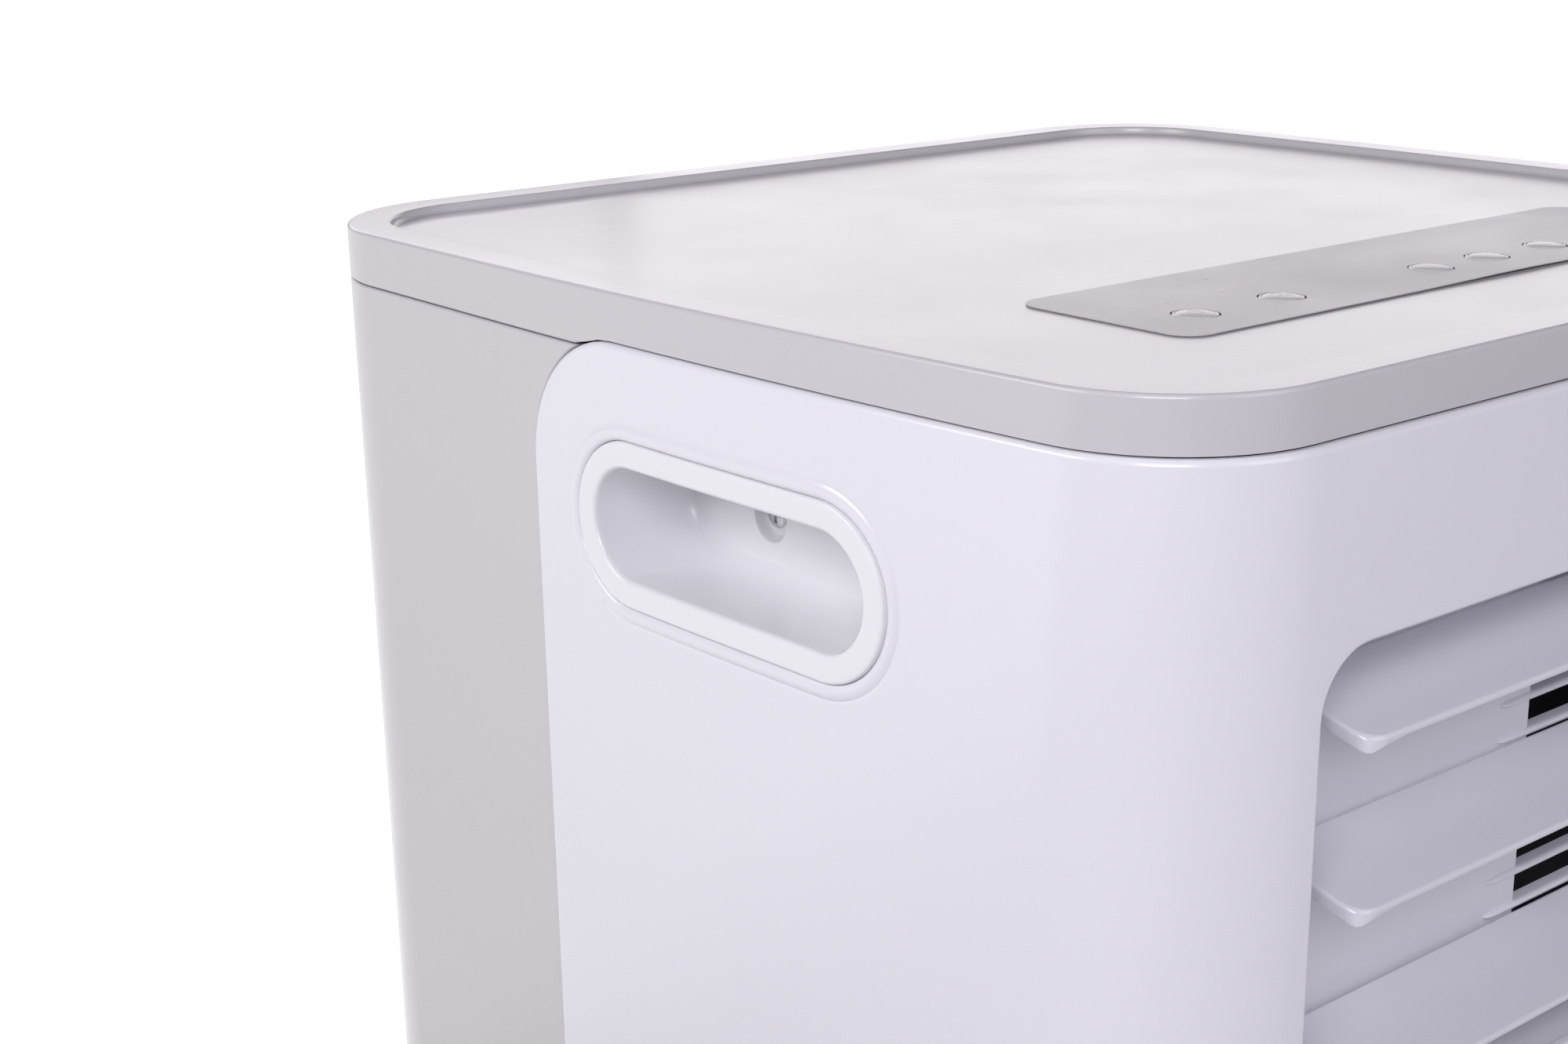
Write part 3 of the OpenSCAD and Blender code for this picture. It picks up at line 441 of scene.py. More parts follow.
def inside(points, loops):
    """Which points lie inside an odd number of the loops."""
    points = np.asarray(points)
    odd = np.zeros(len(points), dtype=bool)
    for loop in loops:
        ring = np.asarray(loop)
        nxt = np.roll(ring, -1, axis=0)
        for (x0, y0), (x1, y1) in zip(ring, nxt):
            if y0 == y1:
                continue
            crosses = (points[:, 1] > min(y0, y1)) & (points[:, 1] <= max(y0, y1))
            at = x0 + (points[:, 1] - y0) * (x1 - x0) / (y1 - y0)
            odd ^= crosses & (points[:, 0] < at)
    return odd


def fill(loops, grid=()):
    """Triangles inside the loops; indices run through the loops' points, then the used grid points."""
    points = [p for loop in loops for p in loop]
    edges = []
    start = 0
    for loop in loops:
        edges.extend((start + i, start + (i + 1) % len(loop)) for i in range(len(loop)))
        start += len(loop)
    extra = []
    if len(grid):
        grid = np.asarray(grid)
        kept = grid[inside(grid, loops)]
        border = np.asarray(points)
        far = [np.min(np.hypot(border[:, 0] - g[0], border[:, 1] - g[1])) > 1.5 * MM for g in kept]
        extra = [tuple(g) for g, ok in zip(kept, far) if ok]
    everything = [Vector(p) for p in points + extra]
    verts, _, faces, origin, _, _ = geometry.delaunay_2d_cdt(everything, edges, [], 0, 1e-7)
    centres = [sum((verts[i] for i in face), Vector((0, 0))) / len(face) for face in faces]
    keep = inside([tuple(c) for c in centres], loops)
    names = [source[0] for source in origin]
    return extra, [[names[i] for i in face] for face, ok in zip(faces, keep) if ok]


def rounded_edge(radius, thickness, steps=4, back=0.0):
    """The edge of a sheet as (shift, depth) pairs: a round front edge, a wall and a small back bevel."""
    pairs = [(radius * a, radius * b) for a, b in quarter(steps)]
    pairs.append((0.0, thickness - back))
    if back:
        pairs.append((back, thickness))
    return pairs


def link_object(obj):
    bpy.context.scene.collection.objects.link(obj)


class Form:
    """A mesh under construction."""

    def __init__(self):
        self.verts = []
        self.faces = []

    def add(self, points):
        start = len(self.verts)
        self.verts.extend(points)
        return list(range(start, len(self.verts)))

    def bridge(self, ring_a, ring_b, closed=True):
        n = len(ring_a)
        for i in range(n if closed else n - 1):
            j = (i + 1) % n
            self.faces.append([ring_a[i], ring_a[j], ring_b[j], ring_b[i]])

    def loft(self, rings, closed=True, cap_start=False, cap_end=False):
        ids = [self.add(ring) for ring in rings]
        for a, b in zip(ids, ids[1:]):
            self.bridge(a, b, closed)
        if cap_start:
            self.faces.append(list(reversed(ids[0])))
        if cap_end:
            self.faces.append(ids[-1])
        return ids

    def patch(self, loops, names, grid=(), place=None, depth=0.0):
        """Fills the space between loops whose points already have the given indices."""
        extra, triangles = fill(loops, grid)
        names = names + self.add([place(u, v, depth) for u, v in extra])
        self.faces.extend([names[i] for i in face] for face in triangles)

    def sheet(self, loops, edges, place, grid=()):
        """A closed sheet: loops bound it, edges gives each loop's (shift, depth) pairs from front to back."""
        fronts, backs = [], []
        front_loops, back_loops = [], []
        for loop, pairs in zip(loops, edges):
            rings = []
            for shift, depth in pairs:
                moved = shifted_loop(loop, shift)
                rings.append(self.add([place(u, v, depth) for u, v in moved]))
                if len(rings) == 1:
                    front_loops.append(moved)
                last = moved
            back_loops.append(last)
            for a, b in zip(rings, rings[1:]):
                self.bridge(a, b)
            fronts.extend(rings[0])
            backs.extend(rings[-1])
        self.patch(front_loops, fronts, grid, place, edges[0][0][1])
        self.patch(back_loops, backs, grid, place, edges[0][-1][1])

    def lathe(self, profile, place, steps=48, cap_start=False, cap_end=False):
        """Turns (radius, depth) pairs about a plane's origin."""
        rings = []
        for radius, depth in profile:
            rings.append([place(radius * cos(2 * pi * i / steps),
                                radius * sin(2 * pi * i / steps), depth) for i in range(steps)])
        return self.loft(rings, True, cap_start, cap_end)

    def block(self, low, high, bevel):
        """A box whose edges are cut by a small bevel."""
        (x0, y0, z0), (x1, y1, z1) = low, high
        rings = []
        for z, inset in ((z0, bevel), (z0 + bevel, 0.0), (z1 - bevel, 0.0), (z1, bevel)):
            loop = rounded_rect((x0 + x1) / 2, (y0 + y1) / 2, x1 - x0 - 2 * inset, y1 - y0 - 2 * inset,
                                bevel, 2, 1.0)
            rings.append(level(loop, z))
        self.loft(rings, True, True, True)

    def make(self, name, body, slot, stands_for=(), angle=38.0, look=None):
        mesh = bpy.data.meshes.new(name)
        mesh.from_pydata([tuple(v) for v in self.verts], [], self.faces)
        mesh.validate()
        work = bmesh.new()
        work.from_mesh(mesh)
        bmesh.ops.remove_doubles(work, verts=work.verts, dist=1e-6)
        bmesh.ops.dissolve_degenerate(work, edges=work.edges, dist=1e-7)
        bmesh.ops.recalc_face_normals(work, faces=work.faces)
        for face in work.faces:
            face.smooth = True
        work.to_mesh(mesh)
        work.free()
        mesh.set_sharp_from_angle(angle=radians(angle))
        mesh.materials.append(LOOKS[look or slot])
        obj = bpy.data.objects.new(name, mesh)
        link_object(obj)
        weighted = obj.modifiers.new("weighted", "WEIGHTED_NORMAL")
        weighted.keep_sharp = True
        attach(obj, body)
        if stands_for:
            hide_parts(*stands_for)
        return obj


# ---------------------------------------------------------------- lid

PANEL_LOW, PANEL_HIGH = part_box("control_membrane")
PANEL_MID = centre_of("control_membrane")[:2]
PANEL_SIZE = (PANEL_HIGH[0] - PANEL_LOW[0], PANEL_HIGH[1] - PANEL_LOW[1])
DECK_Z = TOP - LIP_H
BUTTON_NODES = ["timer_button", "fan_button", "mode_button", "down_button", "up_button", "power_button"]
BUTTON_R = extent("fan_button")[2] / 2
HOLE_R = BUTTON_R + 0.3 * MM
BUTTON_SPOTS = {name: centre_of(name)[:2] for name in BUTTON_NODES}
LID_EDGE_R = 1.0 * MM
LIP_INNER_R = 1.0 * MM
LIP_SHOULDER = LIP_W - 1.6 * MM
LID_UNDER_Z = TOP - 6 * MM
LID_WALL = 3 * MM
LID_CHAMFER = 0.35 * MM


def plan_ring(marks, inset, height_at):
    """A ring round the cabinet's outline, moved inwards; height_at gives its height at a given y."""
    points = []
    for q in marks:
        x, y, nx, ny = LID_PLAN.at(q)
        points.append(Vector((x - nx * inset, y - ny * inset, height_at(y))))
    return points


def button_holes():
    return [circle(x, y, HOLE_R)[::-1] for x, y in BUTTON_SPOTS.values()]


def wing_top(y):
    """Height of the front shell's top edge at a given y."""
    mid = WING_Y - WING_CORNER_R
    if y <= mid:
        return FRONT_TOP
    if y >= WING_Y:
        return -1.0
    return FRONT_TOP - WING_CORNER_R + sqrt(WING_CORNER_R ** 2 - (y - mid) ** 2)


def build_lid():
    form = Form()
    marks = LID_PLAN.columns(-LID_PLAN.length, LID_PLAN.length, 2.2 * MM, 5 * MM)[:-1]

    def ring(inset, z):
        return plan_ring(marks, inset, lambda y: z)

    def wing_ring(inset, z):
        return plan_ring(marks, inset, lambda y: max(z, wing_top(y) + SEAM))

    bottom = LID_LOW[2]
    rings = [ring(LID_WALL, LID_UNDER_Z), wing_ring(LID_WALL, bottom), wing_ring(LID_CHAMFER, bottom),
             wing_ring(0.0, bottom + LID_CHAMFER), ring(0.0, TOP - LID_EDGE_R)]
    for a, b in quarter(6, 1):
        rings.append(ring(LID_EDGE_R * b, TOP - LID_EDGE_R * a))
    for a, b in quarter(4):
        rings.append(ring(LIP_SHOULDER + LIP_INNER_R * (1 - a) * 0.8, TOP - LIP_INNER_R * b))
    for a, b in quarter(4, 1):
        rings.append(ring(LIP_SHOULDER + 0.8 * LIP_INNER_R + 1.2 * LIP_INNER_R * b,
                          TOP - LIP_INNER_R - (LIP_H - LIP_INNER_R) * (1 - a)))
    ids = form.loft(rings)
    holes = button_holes()
    grid = square_grid(15 * MM, 12)
    top_ids, low_ids = list(ids[-1]), list(ids[0])
    for hole in holes:
        top = form.add(level(hole, DECK_Z))
        low = form.add(level(hole, DECK_Z - LID_WALL))
        form.bridge(top, low)
        top_ids += top
        low_ids += low
    for ring_points, names, z in ((rings[-1], top_ids, DECK_Z), (rings[0], low_ids, LID_UNDER_Z)):
        outline = [(v.x, v.y) for v in ring_points]
        form.patch([outline] + holes, names, grid, flat((0, 0, z), (1, 0, 0), (0, 1, 0), (0, 0, 1)))
    form.make("lid_cover", "cabinet", "grey_gloss", ["lid"])


# ---------------------------------------------------------------- shells

def grid_points(columns, low, high, step):
    rows = max(1, ceil((high - low) / step))
    return [(q, low + (high - low) * i / rows) for q in columns for i in range(1, rows)]


def handle_loop(grow, side):
    """The grip's outline on the shell, clockwise so that the shell is on its left."""
    y_mid, z_mid = HANDLE_MID
    w, h = HANDLE_SIZE[0] + 2 * grow, HANDLE_SIZE[1] + 2 * grow
    loop = rounded_rect(y_mid, z_mid, w, h, h / 2 - 0.05 * MM, 16, 6 * MM)
    placed = [(side * SHELL_PLAN.side_length(y), z) for y, z in loop]
    return placed[::-1] if side > 0 else placed


# How the shell's edge rolls round a grip: (shift, depth) pairs in millimetres from the front.
HANDLE_BEAD = offset([(4.6, 0), (4.1, 0), (3.85, 0.1), (3.6, 0.12), (3.3, -0.08), (2.7, -0.3), (1.9, -0.42),
                      (1.1, -0.38), (0.5, -0.16), (0.15, 0.15), (0, 0.5), (0, 2.5)])
WING_STEPS = 24
WING_GAP = 0.3 * MM
INTAKE_CORNER_R = 8 * MM
REAR_HOLES = {"exhaust_collar": 70.3 * MM, "upper_drain_plug": 10.3 * MM, "lower_drain_plug": 10.3 * MM,
              "cord_gland": 9.3 * MM}


def build_front_shell():
    form = Form()
    wing = SHELL_PLAN.side_length(WING_Y)
    columns = SHELL_PLAN.columns(-wing, wing)
    bottom = BASE_Z
    r = WING_CORNER_R
    rise = FRONT_TOP - r - bottom
    straight = [q for q in columns if abs(q) < wing - r - 1 * MM]
    outer = [(q, bottom) for q in columns if abs(q) < wing - 1 * MM]
    outer += [(wing, bottom + rise * i / WING_STEPS) for i in range(WING_STEPS)]
    outer += arc_points(wing - r, FRONT_TOP - r, r, 0, 90, 14)
    outer += [(q, FRONT_TOP) for q in reversed(straight)]
    outer += arc_points(-wing + r, FRONT_TOP - r, r, 90, 180, 14)
    outer += [(-wing, FRONT_TOP - r - rise * i / WING_STEPS) for i in range(1, WING_STEPS + 1)]
    outlet = rounded_rect(0, OUTLET_MID_Z, *OUTLET_SIZE, OUTLET_R, 12, 8 * MM)[::-1]
    loops = [outer, outlet, handle_loop(0.1 * MM, 1), handle_loop(0.1 * MM, -1)]
    edges = [rounded_edge(1.4 * MM, WALL, 5), rounded_edge(1.1 * MM, WALL, 5), HANDLE_BEAD, HANDLE_BEAD]
    grid = grid_points(columns, bottom, FRONT_TOP, 12 * MM)
    form.sheet(loops, edges, wrap(SHELL_PLAN, SIDE_PROUD), grid)
    form.make("front_cover", "cabinet", "white_gloss", ["front_shell"])


def node_rect(node):
    """The outline of an intake's opening on the back wall, clockwise, as lengths from the back's middle."""
    x, z, w, h = extent(node)
    return rounded_rect(-x, z, w + 2 * WING_GAP, h + 2 * WING_GAP, INTAKE_CORNER_R, 8, 10 * MM)[::-1]


def build_rear_shell():
    form = Form()
    plan = LID_PLAN
    wing = plan.length - plan.side_length(WING_Y + WING_GAP)
    columns = plan.columns(-plan.length, plan.length)
    columns = sorted({round(copysign(plan.length - abs(q), q), 7) for q in columns})
    columns = [q for q in columns if abs(q) < wing - 1 * MM]
    r = WING_CORNER_R + WING_GAP
    corner_z = FRONT_TOP - WING_CORNER_R
    rise = corner_z - BASE_Z
    reach = degrees(asin((SHELL_TOP - corner_z) / r))
    top_y = WING_Y - WING_CORNER_R
    end = plan.length - plan.side_length(top_y + r * cos(radians(reach)))
    corner = [(2 * wing - x, z) for x, z in arc_points(wing - r, corner_z, r, 0, reach, 12)]
    top = [q for q in columns if abs(q) < end - 1 * MM]
    beyond = [wing + (end - wing) * i / 3 for i in (1, 2)] if end - wing > 9 * MM else []
    outer = [(q, BASE_Z) for q in columns]
    outer += [(wing, BASE_Z + rise * i / WING_STEPS) for i in range(WING_STEPS)]
    outer += corner
    outer += [(q, SHELL_TOP) for q in reversed([-q for q in reversed(beyond)] + top + beyond)]
    outer += [(-x, z) for x, z in reversed(corner)]
    outer += [(-wing, corner_z - rise * i / WING_STEPS) for i in range(1, WING_STEPS + 1)]
    loops = [outer, node_rect("upper_intake_grille"), node_rect("lower_intake_grille")]
    for node, hole in REAR_HOLES.items():
        x, _, z = centre_of(node)
        loops.append(circle(-x, z, hole, 72 if node == "exhaust_collar" else 40)[::-1])
    edges = [rounded_edge(0.6 * MM, WALL, 3)] + [rounded_edge(0.8 * MM, WALL, 3)] * (len(loops) - 1)
    grid = grid_points(columns, BASE_Z, SHELL_TOP, 14 * MM)
    form.sheet(loops, edges, wrap_back(plan), grid)
    form.make("rear_cover", "cabinet", "grey_gloss", ["rear_shell"])


# ---------------------------------------------------------------- grips and screws

GRIP_SCREW = (HANDLE_MID[0] + 14 * MM, HANDLE_MID[1] + 1.4 * MM)
GRIP_BACK_X = 145.5 * MM
GRIP_RISE = 0.7 * MM
GRIP_RISE_FROM = HANDLE_MID[0] - 15 * MM
GRIP_DEPTH = 25.9 * MM
RECESS_R = 6.4 * MM
# The screw's recess as (shift, depth) pairs in millimetres.
RECESS_STEPS = offset([(0, 0), (0.12, 0.05), (0.3, 0.3), (0.45, 0.9), (0.8, 2.2), (1.3, 2.9), (1.9, 3.2)])
# Each ring of a grip in millimetres: how far inside the outer edge, how deep, and how far raised.
GRIP_PROFILE = [(-0.05, 2.4, 0), (-0.05, 0.7, 0), (0.12, 0.5, 0), (0.16, 0.1, 0), (0.3, -0.12, 0),
                (0.7, -0.26, 0), (1.5, -0.3, 0), (5.5, -0.15, 0), (6.0, -0.05, 0), (6.4, 0.2, 0),
                (6.65, 0.6, 0), (6.8, 1.3, 0), (6.9, 4.0, 0.05), (7.0, 9.0, 0.1), (7.1, 14.0, 0.2),
                (7.2, 17.0, 0.3), (7.45, 19.4, 0.4), (7.9, 21.6, 0.5), (8.5, 23.4, 0.6), (9.2, 24.8, 0.8),
                (9.9, 25.6, 0.9), (10.4, 25.9, 1.0)]
GRIP_OUTSIDE = [(-0.05, 2.4, 0), (5.0, 2.5, 0), (5.1, 9.0, 0), (5.4, 19.0, 0.3), (6.2, 24.5, 0.6),
                (8.0, 29.4, 0.8)]
GRIP_SCREW_DEPTH = 29.1 * MM
SCREW_R = 3.6 * MM
SCREW_H = 1.8 * MM
GRIP_SCREW_R = 3.7 * MM
GRIP_SCREW_H = 2.2 * MM
SHANK_R = 1.9 * MM
SHANK_END = 6 * MM
MIDDLE_SCREW_Z = 407 * MM


def build_grip(side, name):
    form = Form()
    y_mid, z_mid = HANDLE_MID
    surface = wrap(SHELL_PLAN, SIDE_PROUD)

    def place(y, z, depth):
        point = surface(side * SHELL_PLAN.side_length(y), z, 0.0)
        rise = GRIP_RISE * min(1.0, max(0.0, (GRIP_RISE_FROM - y) / (30 * MM))) ** 2
        share = depth / GRIP_DEPTH - rise / GRIP_DEPTH * max(0.0, 1 - max(0.0, depth - 0.5 * MM) / (3 * MM))
        point.x += (side * GRIP_BACK_X - point.x) * share
        return point

    def ring(shrink, depth, lift):
        w, h = HANDLE_SIZE[0] - 2 * shrink, HANDLE_SIZE[1] - 2 * shrink
        loop = rounded_rect(y_mid, z_mid + lift, w, h, h / 2 - 0.05 * MM, 20, 6 * MM)
        return loop, [place(y, z, depth) for y, z in loop]

    loops, rings = zip(*[ring(*(value * MM for value in row)) for row in GRIP_PROFILE])
    ids = form.loft(rings)
    recess = [circle(*GRIP_SCREW, RECESS_R - shift)[::-1] for shift, _ in RECESS_STEPS]
    recess_ids = form.loft([[place(y, z, GRIP_DEPTH + depth) for y, z in loop]
                            for loop, (_, depth) in zip(recess, RECESS_STEPS)], cap_end=True)
    form.patch([loops[-1], recess[0]], ids[-1] + recess_ids[0])
    form.loft([ring(*(value * MM for value in row))[1] for row in GRIP_OUTSIDE], cap_end=True)
    form.make(name + "_grip", "cabinet", "handle_white", [name], 42.0)


def cross_recess_screw(form, place, radius, height):
    """A pan head with a cross-shaped recess."""
    arm, reach = 0.16 * radius, 0.62 * radius
    tip = arm * 0.8
    cross = [(arm, arm), (reach, tip), (reach, -tip), (arm, -arm), (tip, -reach), (-tip, -reach),
             (-arm, -arm), (-reach, -tip), (-reach, tip), (-arm, arm), (-tip, reach), (tip, reach)]
    outer = circle(0, 0, radius * 0.72, 36)
    head = [(0.72, 0.0), (0.86, 0.08), (0.96, 0.26), (1.0, 0.5), (1.0, 1.0)]
    rings = form.lathe([(radius * r, height * d) for r, d in head], place, 36, cap_end=True)
    steps = [form.add([place(u * size, v * size, height * depth) for u, v in cross])
             for size, depth in ((1.0, 0.0), (0.9, 0.25), (0.5, 0.9))]
    form.bridge(steps[0], steps[1])
    form.bridge(steps[1], steps[2])
    form.faces.append(steps[2])
    form.patch([outer, cross], rings[0] + steps[0])


def build_screws():
    form = Form()
    surface = wrap(SHELL_PLAN, SIDE_PROUD)
    for side in (-1, 1):
        seat = surface(side * SHELL_PLAN.side_length(GRIP_SCREW[0]), GRIP_SCREW[1], GRIP_SCREW_DEPTH)
        place = side_place(*seat, -side)
        cross_recess_screw(form, place, GRIP_SCREW_R, GRIP_SCREW_H)
        form.lathe([(0.01 * MM, SHANK_END), (SHANK_R, SHANK_END), (SHANK_R, GRIP_SCREW_H)], place, 24)
    form.make("grip_screws", "cabinet", "steel_zinc", ["handle_screws"])
    form = Form()
    low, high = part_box("shell_screws")
    for x in (low[0] + SCREW_R, high[0] - SCREW_R):
        for z in (low[2] + SCREW_R, MIDDLE_SCREW_Z, high[2] - SCREW_R):
            cross_recess_screw(form, wall_place(x, REAR_Y + SCREW_H, z, -1), SCREW_R, SCREW_H)
    form.make("back_screws", "cabinet", "steel_zinc", ["shell_screws"])


# ---------------------------------------------------------------- outlet

LOUVRE_NODES = ["upper_louvre", "middle_louvre", "lower_louvre"]
LOUVRE_SLOPE = radians(14)
LOUVRE_T = 3.4 * MM
LOUVRE_CHORD = 27 * MM
LOUVRE_TAIL = 3.5 * MM
LOUVRE_HALF = OUTLET_SIZE[0] / 2 - 11.5 * MM
LOUVRE_CORNER_R = 6.5 * MM
LOUVRE_EDGE_R = 0.9 * MM
PIVOTS = {joint["child"]: joint["pos_m"] for joint in frame["joints"] if joint["type"] == "hinge"}
LOUVRE_LIP_T = 1.3 * MM
LOUVRE_LIP_RUN = 10 * MM
LOUVRE_END_W = 3 * MM
LOUVRE_END_RUN = 9 * MM


def louvre_under(u, v, front):
    """Share of the full thickness: thin along the front lip, full at the back and at both ends."""
    from_front = min(1.0, max(0.0, (v - front) / LOUVRE_LIP_RUN))
    from_end = min(1.0, max(0.0, (LOUVRE_HALF - LOUVRE_END_W - abs(u)) / LOUVRE_END_RUN))
    thin = 1 - LOUVRE_LIP_T / LOUVRE_T
    return 1 - thin * from_end * (1 - from_front) ** 1.5


def build_louvre(node):
    body = node + "_body"
    pivot = Vector(PIVOTS[body])
    form = Form()
    turn = Matrix.Rotation(LOUVRE_SLOPE, 4, "X")
    x, r = LOUVRE_HALF, LOUVRE_CORNER_R
    front = -(LOUVRE_CHORD - LOUVRE_TAIL)

    def place(u, v, depth):
        share = depth / LOUVRE_T
        du, dv = abs(u) - (x - r), v - (front + r)
        if du > 0 and dv < 0:
            reach = hypot(du, dv)
            square = reach / max(du, -dv)
            grow = 1 + (min(square, 1.3) - 1) * share
            du, dv = du * grow, dv * grow
            u, v = copysign(x - r + du, u), front + r + dv
        low = depth * (1 + (louvre_under(u, v, front) - 1) * share)
        return pivot + turn @ Vector((u, v, LOUVRE_T / 2 - low))

    outline = [(x, LOUVRE_TAIL), (-x, LOUVRE_TAIL)]
    outline += arc_points(-x + r, front + r, r, 180, 270, 10)
    outline += arc_points(x - r, front + r, r, 270, 360, 10)
    outline = fine_loop(outline, 6 * MM)
    edge = [(LOUVRE_EDGE_R * a, LOUVRE_EDGE_R * b) for a, b in quarter(6)]
    edge += offset([(0, -0.7), (0.2, -0.2), (0.7, 0)], 0.0, LOUVRE_T)
    grid = [(i * 5 * MM, front + j * 2.5 * MM) for i in range(-21, 22) for j in range(1, 10)]
    form.sheet([outline], [edge], place, grid)
    low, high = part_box(node)
    for side, reach in ((-1, low[0]), (1, high[0])):
        start = side * (LOUVRE_HALF - 1 * MM)
        span = abs(reach) - abs(start)
        axle = offset([(3.6, 0), (3.6, 2.2), (2.5, 2.6)]) + offset([(2.5, -0.3), (2.2, 0)], 0.0, span)
        form.lathe(axle, side_place(start, pivot.y, pivot.z, side), 32, True, True)
    pin = offset([(2.4, 0), (2.4, 2.4), (1.5, 2.6), (1.5, 7.2), (1.3, 7.5)])
    form.lathe(pin, side_place(LOUVRE_HALF - 1 * MM, *crank_spot(pivot), 1), 24, True, True)
    form.make(node + "_blade", body, "louvre_white", [node])


CRANK_REACH = 11 * MM
LINK_HOLES = [1.56 * MM, 1.8 * MM, 1.8 * MM]


def crank_spot(pivot):
    return (pivot.y - CRANK_REACH * cos(LOUVRE_SLOPE), pivot.z - CRANK_REACH * sin(LOUVRE_SLOPE))


def build_link():
    form = Form()
    low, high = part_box("louvre_link")
    _, mid_y, mid_z = centre_of("louvre_link")
    thick = high[0] - low[0]
    outline = rounded_rect(mid_y, mid_z, high[1] - low[1], high[2] - low[2], 3.9 * MM, 8, 8 * MM)
    spots = [crank_spot(Vector(PIVOTS[node + "_body"])) for node in LOUVRE_NODES]
    holes = [circle(*spot, r, 24)[::-1] for spot, r in zip(spots, LINK_HOLES)]
    edges = [rounded_edge(0.4 * MM, thick, 3, 0.3 * MM)] + [rounded_edge(0.2 * MM, thick, 2, 0.1 * MM)] * 3
    form.sheet([outline] + holes, edges, side_place(high[0], 0, 0, -1))
    form.make("link_bar", "link_body", "louvre_white", ["louvre_link"])


SLOT_LEFT = -10 * MM
SLOT_RIGHT = OUTLET_SIZE[0] / 2 - 12 * MM
OUTLET_BOTTOM = OUTLET_MID_Z - OUTLET_SIZE[1] / 2
WALL_Y = FRONT_Y + 24 * MM
RIB_START = 13.2 * MM
RIB_PITCH = 9.1 * MM
RIB_COUNT = 11
RIB_HALF = 0.9 * MM
RIB_RISE = 1.4 * MM
RIB_BACK = 2.6 * MM
RIB_REACH = 12 * MM
# A rib's stations: how far from the tip of its nose, in metres, and its share of the full section.
RIB_NOSE = [(0.0, 0.05), (0.4 * MM, 0.45), (1.5 * MM, 0.8), (4 * MM, 1.0), (RIB_REACH, 1.0)]
STRUT_COUNT = 3
SLOT_MARGIN = 6 * MM
WALL_FILLET = 4 * MM
OUTLET_RIM = 3 * MM


def outlet_loop(inset, r):
    w, h = OUTLET_SIZE
    return rounded_rect(0, OUTLET_MID_Z, w + 2 * MM - 2 * inset, h + 2 * MM - 2 * inset, r, 10, 10 * MM)


def build_outlet_grille():
    form = Form()
    front, back = GRILLE_LOW[1], GRILLE_HIGH[1]

    def at(loop, y):
        return [Vector((x, y, z)) for x, z in loop]

    outer = outlet_loop(-OUTLET_RIM, OUTLET_R + OUTLET_RIM)
    rings = [at(outer, back), at(outer, front), at(outlet_loop(0, OUTLET_R), front)]
    for a, b in quarter(6):
        inset = WALL_FILLET * b
        rings.append(at(outlet_loop(inset, OUTLET_R - inset), WALL_Y - WALL_FILLET * a))
    ids = form.loft(rings)
    low_z, high_z = OUTLET_BOTTOM + SLOT_MARGIN, OUTLET_BOTTOM + OUTLET_SIZE[1] - SLOT_MARGIN
    slot = fine_loop([(SLOT_LEFT, low_z), (SLOT_RIGHT, low_z), (SLOT_RIGHT, high_z), (SLOT_LEFT, high_z)],
                     12 * MM)[::-1]
    slot_front = form.add(at(slot, WALL_Y))
    slot_back = form.add(at(slot, back))
    form.bridge(slot_front, slot_back)
    form.patch([outlet_loop(WALL_FILLET, OUTLET_R - WALL_FILLET), slot], ids[-1] + slot_front)
    form.patch([outer, slot], ids[0] + slot_back)
    for i in range(RIB_COUNT):
        add_rib(form, OUTLET_BOTTOM + RIB_START + RIB_PITCH * i)
    for i in range(1, STRUT_COUNT + 1):
        x = SLOT_LEFT + (SLOT_RIGHT - SLOT_LEFT) * i / (STRUT_COUNT + 1)
        form.block((x, WALL_Y + 0.6 * MM, OUTLET_BOTTOM + 3 * MM),
                   (x + 2 * MM, WALL_Y + RIB_BACK, OUTLET_BOTTOM + OUTLET_SIZE[1] - 3 * MM), 0.3 * MM)
    form.make("outlet_wall", "cabinet", "grille_white", ["outlet_grille"])


def add_rib(form, z):
    """A thin bar across the slot whose left end tapers to a rounded nose on the wall."""
    stations = [(SLOT_LEFT - RIB_REACH + run, size) for run, size in RIB_NOSE]
    rings = []
    for x, size in stations + [(SLOT_RIGHT + 2 * MM, 1.0)]:
        rise, half = RIB_RISE * size, RIB_HALF * size
        ring = [Vector((x, WALL_Y - rise * sin(a) + 0.1 * MM, z - half * cos(a)))
                for a in (pi * i / 8 for i in range(9))]
        ring += [Vector((x, WALL_Y + RIB_BACK, z + side * half)) for side in (1, -1)]
        rings.append(ring)
    form.loft(rings, True, True, True)


# ---------------------------------------------------------------- control panel

def ripple(x, y):
    """How far the thin film lifts off the deck."""
    wave = noise.noise(Vector((x * 18, y * 10, 0.3)))
    edge = max(0.0, 1 - abs(y - (PANEL_MID[1] - PANEL_SIZE[1] / 2)) / (12 * MM))
    bulge = exp(-((x - 10 * MM) / (28 * MM)) ** 2)
    return 0.12 * MM + 0.1 * MM * wave + 0.45 * MM * edge * bulge


def build_membrane():
    form = Form()

    def place(u, v, depth):
        return Vector((u, v, DECK_Z + 0.35 * MM + ripple(u, v) - depth))

    outline = rounded_rect(*PANEL_MID, *PANEL_SIZE, 7 * MM, 12, 3 * MM)
    holes = button_holes()
    thin = [(0.0, 0.0), (0.0, 0.25 * MM)]
    steps_x, steps_y = 70, 18
    grid = [(PANEL_LOW[0] + PANEL_SIZE[0] * i / steps_x, PANEL_LOW[1] + PANEL_SIZE[1] * j / steps_y)
            for i in range(1, steps_x) for j in range(1, steps_y)]
    form.sheet([outline] + holes, [thin] * (1 + len(holes)), place, grid)
    form.make("control_film", "cabinet", "membrane_silver", ["control_membrane"])


